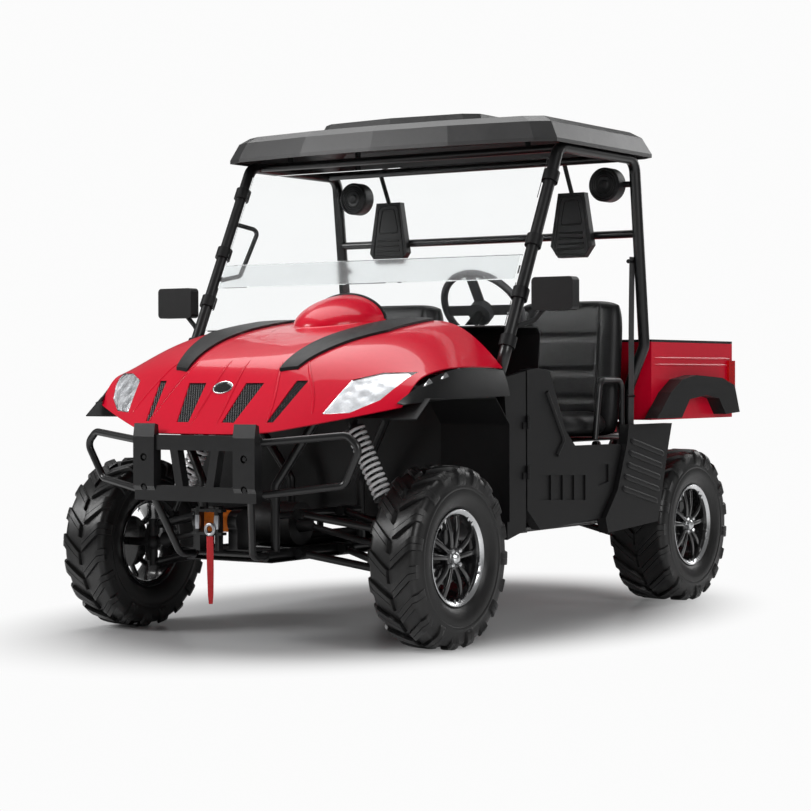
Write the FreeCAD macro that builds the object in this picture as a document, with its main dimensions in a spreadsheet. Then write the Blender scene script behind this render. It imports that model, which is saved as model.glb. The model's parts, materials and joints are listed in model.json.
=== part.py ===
import FreeCAD, Part
import math
import os

import Sketcher

# Side by side utility vehicle with two seats, a roof on a tube cage and a tipping cargo bed.
# The origin is on the ground under the middle of the vehicle.
# The front faces -Y, +X is the vehicle's left, the driver's side, and +Z is up.
# All lengths are millimetres and all angles are degrees.

# Driving sizes

SIZES = {
    # Whole vehicle
    "wheelbase": 1920,
    "rear_axle_y": 1040,
    "bumper_y": -1377,
    "bed_rear_y": 1362,
    "overrun": 20,
    "seat_gap": 0.3,
    "running_gap": 0.05,
    "tolerance": 0.01,
    # Tyres and wheels
    "tyre_radius": 317.5,
    "front_tyre_x": 685,
    "front_tyre_half": 100,
    "rear_tyre_x": 597.5,
    "rear_tyre_half": 127.5,
    "shoulder_drop": 22,
    "shoulder_inset": 22,
    "sidewall_drop": 90,
    "lug_depth": 14,
    "lug_ramp": 7,
    "bead_radius": 152,
    "rim_lip_radius": 166.5,
    "rim_lip_thick": 7,
    "rim_wall": 6,
    "front_rim_half": 80,
    "rear_rim_half": 110,
    "hub_radius": 42,
    "hub_length": 34,
    "spoke_inset": 18,
    "spoke_thick": 16,
    "spoke_root_half": 9,
    "spoke_tip_half": 11,
    "spoke_spread": 34,
    "spoke_root_spread": 12,
    "spoke_tip_drop": 5,
    "disc_radius": 96,
    "disc_thick": 5,
    "spindle_radius": 15,
    # Steering and suspension
    "kingpin_x": 600,
    "upright_thick": 34,
    "upright_half": 34,
    "upright_reach": 88,
    "cup_radius": 30,
    "ball_radius": 17,
    "arm_tube": 14,
    "front_arm_spread": 130,
    "rear_arm_spread": 80,
    "upper_arm_z": 455,
    "arm_bush_radius": 19,
    "arm_bush_half": 30,
    "rear_knuckle_x": 440,
    "shock_top_x": 319,
    "shock_top_z": 780,
    "shock_foot_x": 500,
    "rear_shock_foot_x": 352,
    "shock_seat_half": 20,
    "shock_seat_thick": 16,
    "spring_radius": 37,
    "damper_radius": 17,
    "shock_eye_radius": 14,
    "shock_eye_half": 16,
    # Frame
    "rail_x": 160,
    "rail_z": 318,
    "rail_radius": 19,
    "rail_front_y": -1180,
    "rail_rear_y": 1190,
    "side_rail_x": 648,
    "side_rail_z": 382,
    "side_rail_front_y": -470,
    "side_rail_rear_y": 640,
    "cross_radius": 16,
    "brace_radius": 13,
    "bed_rail_radius": 18,
    "frame_bend": 45,
    "tower_front_y": -1120,
    "tower_rear_y": -600,
    "tower_waist_z": 560,
    "rear_frame_y": 890,
    "rear_waist_z": 510,
    "floor_tube_front_y": -414,
    "floor_tube_rear_y": 535,
    "outrigger_radius": 10,
    "outrigger_front_y": -430,
    "outrigger_rear_y": 430,
    "roof_post_x": 560,
    "roof_post_radius": 12,
    "bed_rail_x": 250,
    "bed_rail_z": 680,
    "bed_rail_front_y": 640,
    "hinge_y": 1220,
    "hinge_z": 728,
    "hinge_tube": 14,
    "hinge_half": 330,
    "skid_thick": 4,
    "skid_half": 188,
    "skid_rear_y": 560,
    "engine_front_y": 120,
    "engine_rear_y": 505,
    "engine_half": 190,
    "engine_top_z": 630,
    "engine_round": 30,
    "case_radius": 78,
    "case_half": 95,
    "pinion_radius": 22,
    "pinion_length": 100,
    "prop_z": 357,
    "prop_radius": 14,
    "axle_shaft_radius": 12,
    "boot_radius": 34,
    "boot_length": 56,
    # Roll cage
    "cage_tube": 22.5,
    "cage_x": 722,
    "cage_foot_x": 648,
    "pillar_foot_y": -455,
    "pillar_knee_z": 880,
    "pillar_base_y": -504,
    "pillar_base_z": 1016,
    "cage_top_z": 1797,
    "pillar_top_y": -110,
    "rear_pillar_top_y": 492,
    "rear_pillar_base_y": 575,
    "rear_pillar_base_z": 1060,
    "cage_bend": 90,
    "cage_knee_bend": 60,
    "cross_bar_z": 1505,
    "roof_bar_front_y": -60,
    "roof_bar_rear_y": 418,
    "hoop_radius": 12,
    "hoop_x": 686,
    "hoop_front_y": 232,
    "hoop_rear_y": 452,
    "hoop_top_z": 924,
    "hoop_bend": 40,
    "handle_radius": 9,
    "handle_reach": 100,
    "handle_low_z": 1320,
    "handle_high_z": 1560,
    # Roof
    "roof_half": 765,
    "roof_front_y": -300,
    "roof_rear_y": 600,
    "roof_lip_z": 1806,
    "roof_lip_height": 14,
    "roof_shoulder_z": 1884,
    "roof_top_z": 1908,
    "roof_crown_z": 1945,
    "roof_crown_half": 390,
    "roof_wall": 4,
    # Windshield
    "glass_thick": 5,
    "glass_top": 821,
    "glass_split": 309,
    "glass_lap": 103,
    "clamp_radius": 31,
    "clamp_half": 22,
    # Hood and front body
    "hood_skin": 5,
    "hood_half": 722,
    "hood_front_y": -1345,
    "hood_rear_y": -456,
    "hood_low_z": 745,
    "hood_high_z": 1150,
    "mesh_thick": 3,
    "lamp_depth": 46,
    "lamp_gap": 0.6,
    "strip_height": 9,
    "scoop_half": 172,
    "scoop_length": 460,
    "scoop_height": 118,
    "scoop_base_z": 1132,
    "scoop_wall": 5,
    "fender_skin": 4,
    "fender_half": 752,
    "fender_gap": 0.6,
    "fender_low_z": 866,
    "liner_thick": 4,
    "liner_inner_x": 446,
    "liner_outer_x": 738,
    # Cowl, dash and steering
    "cowl_half": 677,
    "cowl_rear_y": -170,
    "dash_low_z": 905,
    "dash_top_z": 1124,
    "dash_wall": 5,
    "wheel_x": 360,
    "wheel_y": -60,
    "wheel_z": 1195,
    "steering_radius": 180,
    "steering_grip": 14,
    "steering_tilt": 35,
    "steering_hub": 48,
    "steering_hub_depth": 36,
    "column_radius": 20,
    "column_length": 150,
    # Floor and seats
    "floor_thick": 4,
    "floor_z": 418,
    "floor_half": 622,
    "firewall_y": -492,
    "firewall_top_z": 900,
    "seat_box_y": 62,
    "seat_box_z": 690,
    "seat_box_rear_y": 530,
    "cushion_x": 422,
    "cushion_half": 240,
    "cushion_front_y": 10,
    "cushion_rear_y": 412,
    "cushion_top_z": 806,
    "cushion_round": 28,
    "back_foot_y": 420,
    "back_lean": 46,
    "back_thick": 88,
    "back_top_z": 1247,
    "back_round": 45,
    # Doors and side panels
    "door_inner_x": 684,
    "door_outer_x": 722,
    "door_hinge_y": -350,
    "door_length": 736,
    "door_low_z": 374,
    "door_height": 596,
    "door_gap": 9,
    "door_barrel": 7,
    "door_barrel_length": 24,
    "door_leaf": 30,
    "door_leaf_thick": 5,
    "door_hinge_low_z": 590,
    "door_hinge_high_z": 772,
    "door_round": 12,
    "door_relief": 6,
    "door_rib_half": 9,
    "kick_length": 155,
    "kick_low_z": 352,
    "kick_height": 606,
    "panel_inner_x": 700,
    "side_outer_x": 740,
    "side_rear_y": 784,
    "side_low_z": 334,
    "side_height": 414,
    # Cargo bed
    "bed_half": 735,
    "bed_front_y": 612,
    "bed_low_z": 763,
    "bed_floor": 22,
    "bed_top_z": 1076,
    "bed_wall": 28,
    "bed_channel_half": 18,
    "bed_ear_x": 300,
    "bed_ear_thick": 12,
    "bed_ear_half": 24,
    "channel_gap": 30,
    "gate_thick": 30,
    "gate_half": 684,
    "gate_gap": 6,
    "gate_barrel": 7,
    "gate_barrel_x": 380,
    "gate_barrel_length": 50,
    "gate_leaf": 40,
    "gate_leaf_thick": 4,
    "flare_outer_x": 792,
    "flare_front_y": 551,
    "flare_length": 768,
    "flare_low_z": 770,
    "flare_height": 173,
    "tail_lamp_height": 176,
    "tail_lamp_low_z": 828,
    "tail_lamp_depth": 10,
    "tail_lamp_wrap": 50,
    "tail_lamp_inner_x": 698,
    "rail_cap": 10,
    # Bumper and winch
    "post_inner_x": 174,
    "post_outer_x": 268,
    "post_low_z": 520,
    "post_height": 260,
    "post_depth": 78,
    "post_hole_radius": 14,
    "post_hole_depth": 10,
    "bar_high_z": 714,
    "bar_low_z": 538,
    "bar_half_height": 26,
    "bar_inset": 8,
    "bar_depth": 34,
    "foot_run_y": -1250,
    "loop_radius": 13,
    "loop_bend": 36,
    "loop_reach": 336,
    "loop_depth": 140,
    "loop_height": 206,
    "slat_half": 17,
    "slat_x": 62,
    "slat_slant": 34,
    "winch_x": -12,
    "winch_z": 437,
    "winch_y": -1206,
    "drum_radius": 30,
    "drum_half": 58,
    "winch_end_radius": 42,
    "winch_end_length": 40,
    "winch_leg_half": 34,
    "tray_thick": 5,
    "tray_half": 160,
    "tray_front_y": -1240,
    "tray_rear_y": -1142,
    "roller_radius": 9,
    "roller_half": 40,
    "roller_x": 42,
    "roller_y": -1284,
    "fairlead_thick": 5,
    "fairlead_half": 66,
    "fairlead_half_height": 52,
    "rope_radius": 38,
    "cheek_depth": 24,
    "hook_radius": 18,
    "hook_tube": 6,
    "hook_drop": 24,
    "strap_radius": 5,
    "strap_length": 232,
    "strap_sway": 14,
    # Small equipment
    "mirror_inner_x": 787,
    "mirror_outer_x": 957,
    "mirror_low_z": 1176,
    "mirror_top_z": 1296,
    "mirror_y": -400,
    "mirror_depth": 48,
    "mirror_round": 16,
    "mirror_arm": 9,
    "headrest_x": 444,
    "headrest_top_half": 60,
    "headrest_low_half": 95,
    "headrest_low_z": 1417,
    "headrest_top_z": 1677,
    "headrest_thick": 32,
    "pod_x": 608,
    "pod_y": 480,
    "pod_z": 1700,
    "pod_radius": 68,
    "pod_depth": 56,
    "belt_width": 46,
    "belt_thick": 3,
    "muffler_radius": 62,
    "muffler_half": 150,
    "muffler_y": 1298,
    "muffler_z": 556,
    "hanger_radius": 8,
    "pipe_radius": 19,
    "hitch_half": 31.75,
    "hitch_bore_half": 25.4,
    "hitch_end_y": 1377,
    "hitch_pin_radius": 8,
    "hitch_pin_inset": 60,
}

# Shares chosen by hand

SPOKE_COUNT = 5
LUG_COUNT = 19

# How far a lug runs backwards round the tyre for each length that it runs outwards.
LUG_SLANT_SHARE = 0.93

# Straight edges whose directions differ by less than this count as parallel.
PARALLEL_SHARE = 1e-6

# Each row is one station of the hood, from the nose's lower edge to the cowl: depth of the centre line,
# depth of the side edge, half width, height of the centre, height of the edge, and bluntness across.
HOOD_STATION_SHARES = (
    (0.000, 0.290, 0.930, 0.000, 0.230, 0.6),
    (0.095, 0.325, 0.938, 0.235, 0.350, 0.6),
    (0.190, 0.375, 0.946, 0.475, 0.455, 0.8),
    (0.245, 0.420, 0.955, 0.610, 0.500, 1.5),
    (0.400, 0.510, 0.966, 0.765, 0.545, 3.0),
    (0.610, 0.640, 0.980, 0.885, 0.572, 4.0),
    (0.830, 0.810, 0.992, 0.960, 0.566, 4.5),
    (1.000, 0.930, 1.000, 1.000, 0.560, 4.5),
)

# Places across the hood and how far each has swept back from the centre line to the side edge.
HOOD_SWEEP_SHARES = ((0.0, 0.0), (0.2, 0.0), (0.38, 0.02), (0.55, 0.27), (0.78, 0.62), (1.0, 1.0))

# Each slot of the nose as shares of the hood's half width and of its height.
NOSE_SLOT_SHARES = (
    ((0.122, 0.430), (0.232, 0.430), (0.176, 0.095), (0.101, 0.095)),
    ((0.400, 0.450), (0.458, 0.450), (0.391, 0.100), (0.355, 0.100)),
)

# The mesh behind the slots, as shares of the hood's half width and of its height.
MESH_SHARES = ((-0.483, 0.05), (0.483, 0.05), (0.483, 0.472), (-0.483, 0.472))

# The headlamp's outline as shares of the hood's half width and of its height.
LAMP_SHARES = (
    (0.596, 0.168), (0.630, 0.335), (0.656, 0.455), (0.776, 0.515),
    (0.915, 0.520), (0.880, 0.420), (0.825, 0.285), (0.715, 0.180),
)

# The ribbed strip's outline from above as shares of the hood's half width and of its length.
STRIP_SHARES = (
    (0.285, 0.215), (0.375, 0.235), (0.560, 0.640), (0.560, 1.010), (0.330, 1.010), (0.330, 0.680),
)

# Each row is one station of the front fender along the hood: place along it, height of its upper edge,
# height of its lower edge and width at that edge.
FENDER_STATION_SHARES = (
    (0.272, 0.262, 0.250, 0.915),
    (0.360, 0.405, 0.268, 0.962),
    (0.470, 0.500, 0.286, 0.985),
    (0.600, 0.560, 0.298, 0.996),
    (0.790, 0.562, 0.304, 1.000),
    (0.935, 0.535, 0.308, 1.000),
)

# How far the fender's middle line has gone out and down, of its way to the lip.
FENDER_BULGE_SHARES = (0.7, 0.45)

# The arch liner from the side as shares of its length and of its height, from its front edge.
LINER_SHARES = ((0.0, 0.15), (0.14, 0.0), (0.84, 0.0), (1.0, 0.22), (1.0, 1.0))

# The roof from above as shares of its half width and of its length, over the left half.
ROOF_PLAN_SHARES = (
    (0.0, 0.0), (0.45, 0.015), (0.90, 0.070), (1.0, 0.115), (1.0, 0.955), (0.93, 1.0), (0.0, 1.0),
)
ROOF_CROWN_SHARES = ((0.0, 0.13), (0.85, 0.17), (1.0, 0.22), (1.0, 0.86), (0.86, 0.92), (0.0, 0.92))
ROOF_SHOULDER_SHARE = 0.955
ROOF_TOP_SHARE = 0.90
ROOF_CROWN_TOP_SHARE = 0.93
HALF_SHARE = 0.5
THIRD_SHARE = 0.34
QUARTER_SHARE = 0.25
TWICE_SHARE = 2
THRICE_SHARE = 3
SPRING_SHARE = 0.68
CORD_ARC_SHARE = 0.45
CLAMP_HEIGHT_SHARES = (0.06, 0.283, 0.535, 0.848)

# The door's outline from its front lower corner as shares of its length and of its height.
DOOR_SHARES = (
    (0.008, 0.131), (0.136, 0.0), (0.761, 0.030), (0.894, 0.205), (1.0, 0.502), (0.495, 0.507),
    (0.391, 0.611), (0.230, 0.982), (0.120, 1.0), (0.008, 0.987),
)

# The door's four slots and its latch recess, as shares of its length and of its height.
DOOR_SLOT_SHARES = (
    ((0.147, 0.185), (0.243, 0.179), (0.243, 0.334), (0.147, 0.339)),
    ((0.266, 0.178), (0.362, 0.172), (0.362, 0.328), (0.266, 0.333)),
    ((0.385, 0.171), (0.481, 0.165), (0.481, 0.322), (0.385, 0.327)),
    ((0.504, 0.164), (0.600, 0.158), (0.600, 0.317), (0.504, 0.321)),
    ((0.740, 0.240), (0.849, 0.262), (0.849, 0.376), (0.740, 0.376)),
)

# The middle line of the door's raised rib, as shares of its length and of its height.
DOOR_RIB_SHARES = ((0.198, 0.852), (0.371, 0.549), (0.299, 0.456))

# The panel ahead of the door, measured forwards from the hinge line and up from its lower edge.
KICK_SHARES = ((0.0, 1.0), (1.0, 0.962), (0.84, 0.59), (0.84, 0.0), (0.0, 0.046))

# The free edges of the panel behind the door as shares of its length and of its height.
SIDE_SHARES = ((0.037, 0.0), (0.78, 0.053), (0.937, 0.756), (1.0, 1.0), (0.34, 1.0))

# The bed flare's outer edge, then its arch, as shares of its length and of its height.
FLARE_SHARES = (
    (0.0, 0.0), (0.16, 0.60), (0.29, 0.90), (0.46, 1.0), (0.78, 0.93), (0.935, 0.75), (1.0, 0.09),
    (0.82, 0.05), (0.735, 0.44), (0.585, 0.52), (0.38, 0.43), (0.285, 0.0),
)

# The bumper post from the side as shares of its depth and of its height.
POST_SHARES = (
    (0.10, 1.0), (0.0, 0.82), (0.0, 0.16), (0.28, 0.0), (0.74, 0.0), (0.50, 0.20), (0.50, 0.78), (0.36, 0.84),
    (0.32, 0.98),
)

# Heights of the round recesses in a bumper post's front.
POST_HOLE_SHARES = (0.142, 0.546)

# The bumper's side loop as shares of its reach, its depth and its height.
LOOP_SHARES = (
    (-0.06, 0.0, 0.86), (0.86, 0.66, 1.0), (1.0, 0.71, 0.79), (0.80, 0.77, 0.18), (-0.06, 0.06, 0.0),
)

# The winch strap's fall as shares of its sway and of its length.
STRAP_SHARES = ((0.0, 0.0), (0.15, 0.26), (0.55, 0.52), (0.80, 0.77), (1.0, 1.0))


# Lengths that remember their cells

class Length:
    """A length with the formula on the sheet that gives it."""

    def __init__(self, value, formula):
        self.value = value
        self.formula = formula

    def __float__(self):
        return float(self.value)

    def __neg__(self):
        return Length(-self.value, f"(-1 * {self.formula})")

    def __add__(self, other):
        return Length(self.value + float(other), f"({self.formula} + {formula_of(other)})")

    def __radd__(self, other):
        return Length(float(other) + self.value, f"({formula_of(other)} + {self.formula})")

    def __sub__(self, other):
        return Length(self.value - float(other), f"({self.formula} - {formula_of(other)})")

    def __rsub__(self, other):
        return Length(float(other) - self.value, f"({formula_of(other)} - {self.formula})")

    def __mul__(self, share):
        return Length(self.value * float(share), f"({self.formula} * {formula_of(share)})")

    __rmul__ = __mul__

    def __truediv__(self, share):
        return Length(self.value / float(share), f"({self.formula} / {formula_of(share)})")


def formula_of(item):
    """The formula of a length, or a plain number as text."""
    return item.formula if isinstance(item, Length) else repr(float(item))


class Lengths:
    """Every driving size of the sheet under its own name."""

    def __init__(self, sheet, sizes):
        for row, (name, value) in enumerate(sizes.items(), start=1):
            sheet.set(f"A{row}", name)
            sheet.set(f"B{row}", str(value))
            sheet.setAlias(f"B{row}", name)
            setattr(self, name, Length(value, f"Sizes.{name}"))


doc = FreeCAD.newDocument("UtilityVehicle")
d = Lengths(doc.addObject("Spreadsheet::Sheet", "Sizes"), SIZES)
doc.recompute()
ZERO = Length(0, "0")
SIDEWAYS = FreeCAD.Vector(1, 0, 0)
BACKWARDS = FreeCAD.Vector(0, 1, 0)
UPWARDS = FreeCAD.Vector(0, 0, 1)
front_axle_y = d.rear_axle_y - d.wheelbase
rear_post_y = d.rail_rear_y - d.overrun
tower_top_z = d.shock_top_z + d.shock_eye_radius + d.cross_radius + d.seat_gap
seat_low_z = d.seat_box_z + d.floor_thick + d.seat_gap
subparts = []


# General helpers

def vector(x, y, z):
    """A point or direction from three lengths."""
    return FreeCAD.Vector(float(x), float(y), float(z))


def bind(item, **lengths):
    """Tie each named property of an object to its length."""
    for name, length in lengths.items():
        item.setExpression(name, length.formula)


def place(item, x=ZERO, y=ZERO, z=ZERO, rotation=None):
    """Put an object at a bound place, turned if a rotation is given."""
    item.Placement = FreeCAD.Placement(vector(x, y, z), rotation or FreeCAD.Rotation())
    for axis, length in (("x", x), ("y", y), ("z", z)):
        item.setExpression(f"Placement.Base.{axis}", length.formula)


def keep(item, label):
    """Name an object as a sub-part of the vehicle."""
    item.Label = label
    subparts.append(item)
    return item


def origin_feature(body, role):
    """One of a body's own origin planes or axes."""
    return next(item for item in body.Origin.OriginFeatures if item.Role == role)


def outline(body, plane, points, start):
    """A closed outline of straight edges on an origin plane, moved along that plane's normal."""
    sketch = body.newObject("Sketcher::SketchObject", "outline")
    sketch.AttachmentSupport = [(origin_feature(body, plane), "")]
    sketch.MapMode = "FlatFace"
    sketch.setExpression("AttachmentOffset.Base.z", start.formula)
    corners = [vector(a, b, 0) for a, b in points]
    edges = [Part.LineSegment(p, q) for p, q in zip(corners, corners[1:] + corners[:1])]
    sketch.addGeometry(edges, False)
    count = len(edges)
    rules = [Sketcher.Constraint("Coincident", i, 2, (i + 1) % count, 1) for i in range(count)]
    for i, (a, b) in enumerate(points):
        rules.append(Sketcher.Constraint("DistanceX", -1, 1, i, 1, float(a)))
        rules.append(Sketcher.Constraint("DistanceY", -1, 1, i, 1, float(b)))
    sketch.addConstraint(rules)
    for i, corner in enumerate(points):
        for side, length in enumerate(corner):
            if isinstance(length, Length):
                sketch.setExpression(f"Constraints[{count + 2 * i + side}]", length.formula)
    return sketch


def pad(body, plane, points, start, depth):
    """Add a slab to a body: an outline from one distance along the plane's normal, by a depth."""
    added = body.newObject("PartDesign::Pad", "pad")
    added.Profile = outline(body, plane, points, start)
    bind(added, Length=depth)
    return added


def pocket(body, plane, points, start, depth):
    """Cut a slab out of a body, from one distance along the plane's normal, by a depth."""
    doc.recompute()
    taken = body.newObject("PartDesign::Pocket", "pocket")
    taken.Profile = outline(body, plane, points, start + depth)
    bind(taken, Length=depth)
    return taken


def new_body(name):
    """An empty body that may hold more than one solid."""
    body = doc.addObject("PartDesign::Body", name)
    body.AllowCompound = True
    return body


def slab(name, plane, points, start, depth):
    """A body that is one slab."""
    body = new_body(name)
    pad(body, plane, points, start, depth)
    return body


def revolve(body, plane, points, axis):
    """Turn an outline about one of the body's own axes."""
    turned = body.newObject("PartDesign::Revolution", "revolution")
    turned.Profile = outline(body, plane, points, ZERO)
    turned.ReferenceAxis = (origin_feature(body, axis), [""])
    turned.Angle = 360
    return turned


def runs_along(edge, axis):
    """Whether an edge is straight and parallel to an axis."""
    if len(edge.Vertexes) != 2 or not isinstance(edge.Curve, Part.Line):
        return False
    return edge.Curve.Direction.cross(axis).Length < PARALLEL_SHARE


def round_edges(body, radius, axis, wanted=None):
    """Round the edges of a body that run along an axis, all or those that are wanted."""
    doc.recompute()
    names = [
        f"Edge{i}" for i, edge in enumerate(body.Shape.Edges, start=1)
        if runs_along(edge, axis) and (wanted is None or wanted(edge))
    ]
    base = body.Tip
    fillet = body.newObject("PartDesign::Fillet", "rounding")
    fillet.Base = (base, names)
    bind(fillet, Radius=radius)
    return fillet


def mirrored(item):
    """The same object on the other side of the vehicle."""
    other = doc.addObject("Part::Mirroring", "mirror")
    other.Source = item
    other.Normal = SIDEWAYS
    return other


def pair(item, label):
    """An object and its mirror image as one sub-part."""
    both = doc.addObject("Part::Compound", "pair")
    both.Links = [item, mirrored(item)]
    return keep(both, label)


def compound_of(items, name):
    """Several objects held together as one, each still its own solid."""
    group = doc.addObject("Part::Compound", name)
    group.Links = items
    return group


def fuse(items, name="fused"):
    """Several objects joined into one."""
    joined = doc.addObject("Part::MultiFuse", name)
    joined.Shapes = items
    return joined


def cut(base, tool, name="cut"):
    """One object less another."""
    rest = doc.addObject("Part::Cut", name)
    rest.Base = base
    rest.Tool = tool
    return rest


def feature(name, shape):
    """An object whose shape is worked out here."""
    item = doc.addObject("Part::Feature", name)
    item.Shape = shape
    item.Placement = FreeCAD.Placement()
    return item


def box(name, x_span, y_span, z_span):
    """A block between two places on each axis."""
    block = doc.addObject("Part::Box", name)
    bind(block, Length=x_span[1] - x_span[0], Width=y_span[1] - y_span[0], Height=z_span[1] - z_span[0])
    place(block, x_span[0], y_span[0], z_span[0])
    return block


def cylinder(name, radius, length, start, axis):
    """A round bar from a start along an axis."""
    bar = doc.addObject("Part::Cylinder", name)
    bind(bar, Radius=radius, Height=length)
    place(bar, *start, rotation=FreeCAD.Rotation(UPWARDS, axis))
    return bar


def bar(start, end, radius):
    """A straight round bar between two points."""
    a, b = vector(*start), vector(*end)
    return Part.makeCylinder(float(radius), (b - a).Length, a, b - a)


def turn_at(before, corner, after):
    """The directions before and after a corner, and half the angle between them."""
    toward, away = (corner - before).normalize(), (after - corner).normalize()
    return toward, away, toward.getAngle(away) * HALF_SHARE


def bent_bar(corners, radius, bends):
    """A round bar along straight runs, with an arc of its own radius at each corner."""
    pieces = []
    begin = corners[0]
    for before, corner, after, bend in zip(corners, corners[1:], corners[2:], bends):
        toward, away, half_turn = turn_at(before, corner, after)
        first = corner - toward * bend * math.tan(half_turn)
        centre = corner + (away - toward).normalize() * (bend / math.cos(half_turn))
        disc = Part.Face(Part.Wire([Part.Circle(first, toward, float(radius)).toShape()]))
        pieces.append(bar(begin, first, radius))
        pieces.append(disc.revolve(centre, toward.cross(away), math.degrees(half_turn) * TWICE_SHARE))
        begin = corner + away * bend * math.tan(half_turn)
    pieces.append(bar(begin, corners[-1], radius))
    return join(pieces)


def tube(points, radius, bend=ZERO):
    """A round tube along straight runs with the same bend at each turn."""
    corners = [vector(*point) for point in points]
    return bent_bar(corners, radius, [float(bend)] * len(corners))


def cord(points, radius):
    """A round cord with arcs as wide as the shorter run at each corner allows; prints their radii."""
    corners = [vector(*point) for point in points]
    bends = []
    for before, corner, after in zip(corners, corners[1:], corners[2:]):
        shorter = min((corner - before).Length, (after - corner).Length)
        bends.append(CORD_ARC_SHARE * shorter / math.tan(turn_at(before, corner, after)[2]))
    print("cord radii", [round(bend, 1) for bend in bends])
    return bent_bar(corners, radius, bends)


def rod(start, way, length, radius):
    """A straight round bar from a start along a direction."""
    return Part.makeCylinder(float(radius), float(length), start, way)


def right_of(shape):
    """A shape's mirror image on the other side of the vehicle."""
    return shape.mirror(FreeCAD.Vector(), SIDEWAYS)


def both_sides(points, radius, bend=ZERO):
    """The same tube on the left and on the right."""
    left = tube(points, radius, bend)
    return [left, right_of(left)]


def join(shapes):
    """Shapes fused into one clean solid."""
    return shapes[0].multiFuse(shapes[1:]).removeSplitter() if len(shapes) > 1 else shapes[0]


def prism(points, low, high, axis):
    """A straight prism over a flat outline: points across the other two axes, in their order."""
    spots = {
        "x": lambda a, b: vector(low, a, b),
        "y": lambda a, b: vector(a, low, b),
        "z": lambda a, b: vector(a, b, low),
    }[axis]
    ways = {"x": SIDEWAYS, "y": BACKWARDS, "z": UPWARDS}
    wire = Part.makePolygon([spots(a, b) for a, b in points] + [spots(*points[0])])
    return Part.Face(wire).extrude(ways[axis] * (float(high) - float(low)))


def faceted(rings):
    """A closed solid of flat facets between rings of points, the last ring joined to the first."""
    faces = []
    for near, far in zip(rings, rings[1:] + rings[:1]):
        around = zip(near, near[1:] + near[:1], far[1:] + far[:1], far)
        for a, b, c, e in around:
            for corners in ((a, b, c), (a, c, e)):
                sides = [p.distanceToPoint(q) for p, q in zip(corners, corners[1:] + corners[:1])]
                if min(sides) > float(d.tolerance):
                    faces.append(Part.Face(Part.makePolygon(corners + corners[:1])))
    solid = Part.Solid(Part.makeShell(faces))
    return solid if solid.Volume > 0 else solid.reversed()


# Wheels

def tyre_ring(x, radii, shift):
    """One ring of a tyre: at the start and the end of each lug, a point at each of two radii."""
    pitch = math.tau / LUG_COUNT
    points = []
    for number in range(LUG_COUNT):
        for share, radius in zip((0, 0, HALF_SHARE, HALF_SHARE), radii):
            angle = pitch * (number + share) + shift
            points.append(vector(x, radius * math.sin(angle), radius * math.cos(angle)))
    return points


def tyre_side(half, rim_half, way):
    """The rings of one side of a tyre, from its tread's middle out over the lugs and in to the bead."""
    shoulder = d.tyre_radius - d.shoulder_drop
    tread_half = half - d.shoulder_inset
    bead_half = rim_half - d.rim_lip_thick - d.seat_gap
    flat_share = 1 / math.cos(math.pi * HALF_SHARE / LUG_COUNT)
    slant = float(tread_half * LUG_SLANT_SHARE) / float(d.tyre_radius)

    stations = (
        (d.lug_ramp, d.tyre_radius, d.lug_depth, 0),
        (tread_half, d.tyre_radius, d.lug_depth, slant),
        (half, shoulder, d.lug_depth, slant),
        (half, d.tyre_radius - d.sidewall_drop, ZERO, slant * HALF_SHARE),
        (bead_half, (d.rim_lip_radius + d.seat_gap) * flat_share, ZERO, 0),
        (bead_half, (d.bead_radius + d.seat_gap) * flat_share, ZERO, 0),
    )
    rings = []
    for x, high, depth, shift in stations:
        low = high - depth
        radii = (low, high, high, low) if way > 0 else (high, low, low, high)
        rings.append(tyre_ring(x * way, radii, shift))
    return rings


def tyre(label, x, y, half, rim_half):
    """A tyre about its own axle, with slanted lugs that stand half a pitch apart on its two sides."""
    ground = d.tyre_radius - d.lug_depth
    middle = tyre_ring(ZERO, [ground] * 4, 0)
    rings = tyre_side(half, rim_half, -1)[::-1] + [middle] + tyre_side(half, rim_half, 1)
    body = feature(f"{label}_shape", faceted(rings))
    place(body, x, y, d.tyre_radius)
    return keep(body, label)


def rim(label, x, y, half, side):
    """A wheel rim: barrel with two lips, hub with brake disc, and split spokes in a star."""
    body = new_body(label)
    inner = d.bead_radius - d.rim_wall
    neck = half - d.rim_lip_thick
    edge = [(half, d.rim_lip_radius), (neck, d.rim_lip_radius), (neck, d.bead_radius)]
    mirror_edge = [(-a, b) for a, b in reversed(edge)]
    revolve(body, "XY_Plane", edge + mirror_edge + [(-half, inner), (half, inner)], "X_Axis")
    face = half - d.spoke_inset
    back = face - d.spoke_thick
    hub_back = face - d.hub_length
    bore = d.spindle_radius + d.running_gap
    hub = [
        (face, bore), (face, d.hub_radius), (hub_back, d.hub_radius),
        (hub_back, d.disc_radius), (hub_back - d.disc_thick, d.disc_radius), (hub_back - d.disc_thick, bore),
    ]
    revolve(body, "XY_Plane", hub, "X_Axis")
    root = d.hub_radius - d.spoke_root_half
    tip = inner + d.rim_wall * HALF_SHARE
    spokes = []
    for way in (1, -1):
        points = [
            ((d.spoke_root_spread - d.spoke_root_half) * way, root),
            ((d.spoke_root_spread + d.spoke_root_half) * way, root),
            ((d.spoke_spread + d.spoke_tip_half) * way, tip - d.spoke_tip_drop),
            ((d.spoke_spread - d.spoke_tip_half) * way, tip),
        ]
        spokes.append(pad(body, "YZ_Plane", points, back, d.spoke_thick))
    pattern = body.newObject("PartDesign::PolarPattern", "star")
    pattern.Originals = spokes
    pattern.Axis = (origin_feature(body, "X_Axis"), [""])
    pattern.Angle = 360
    pattern.Occurrences = SPOKE_COUNT
    body.Tip = pattern
    turned = FreeCAD.Rotation() if side > 0 else FreeCAD.Rotation(UPWARDS, 180)
    place(body, x * side, y, d.tyre_radius, turned)
    return keep(body, label)


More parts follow.
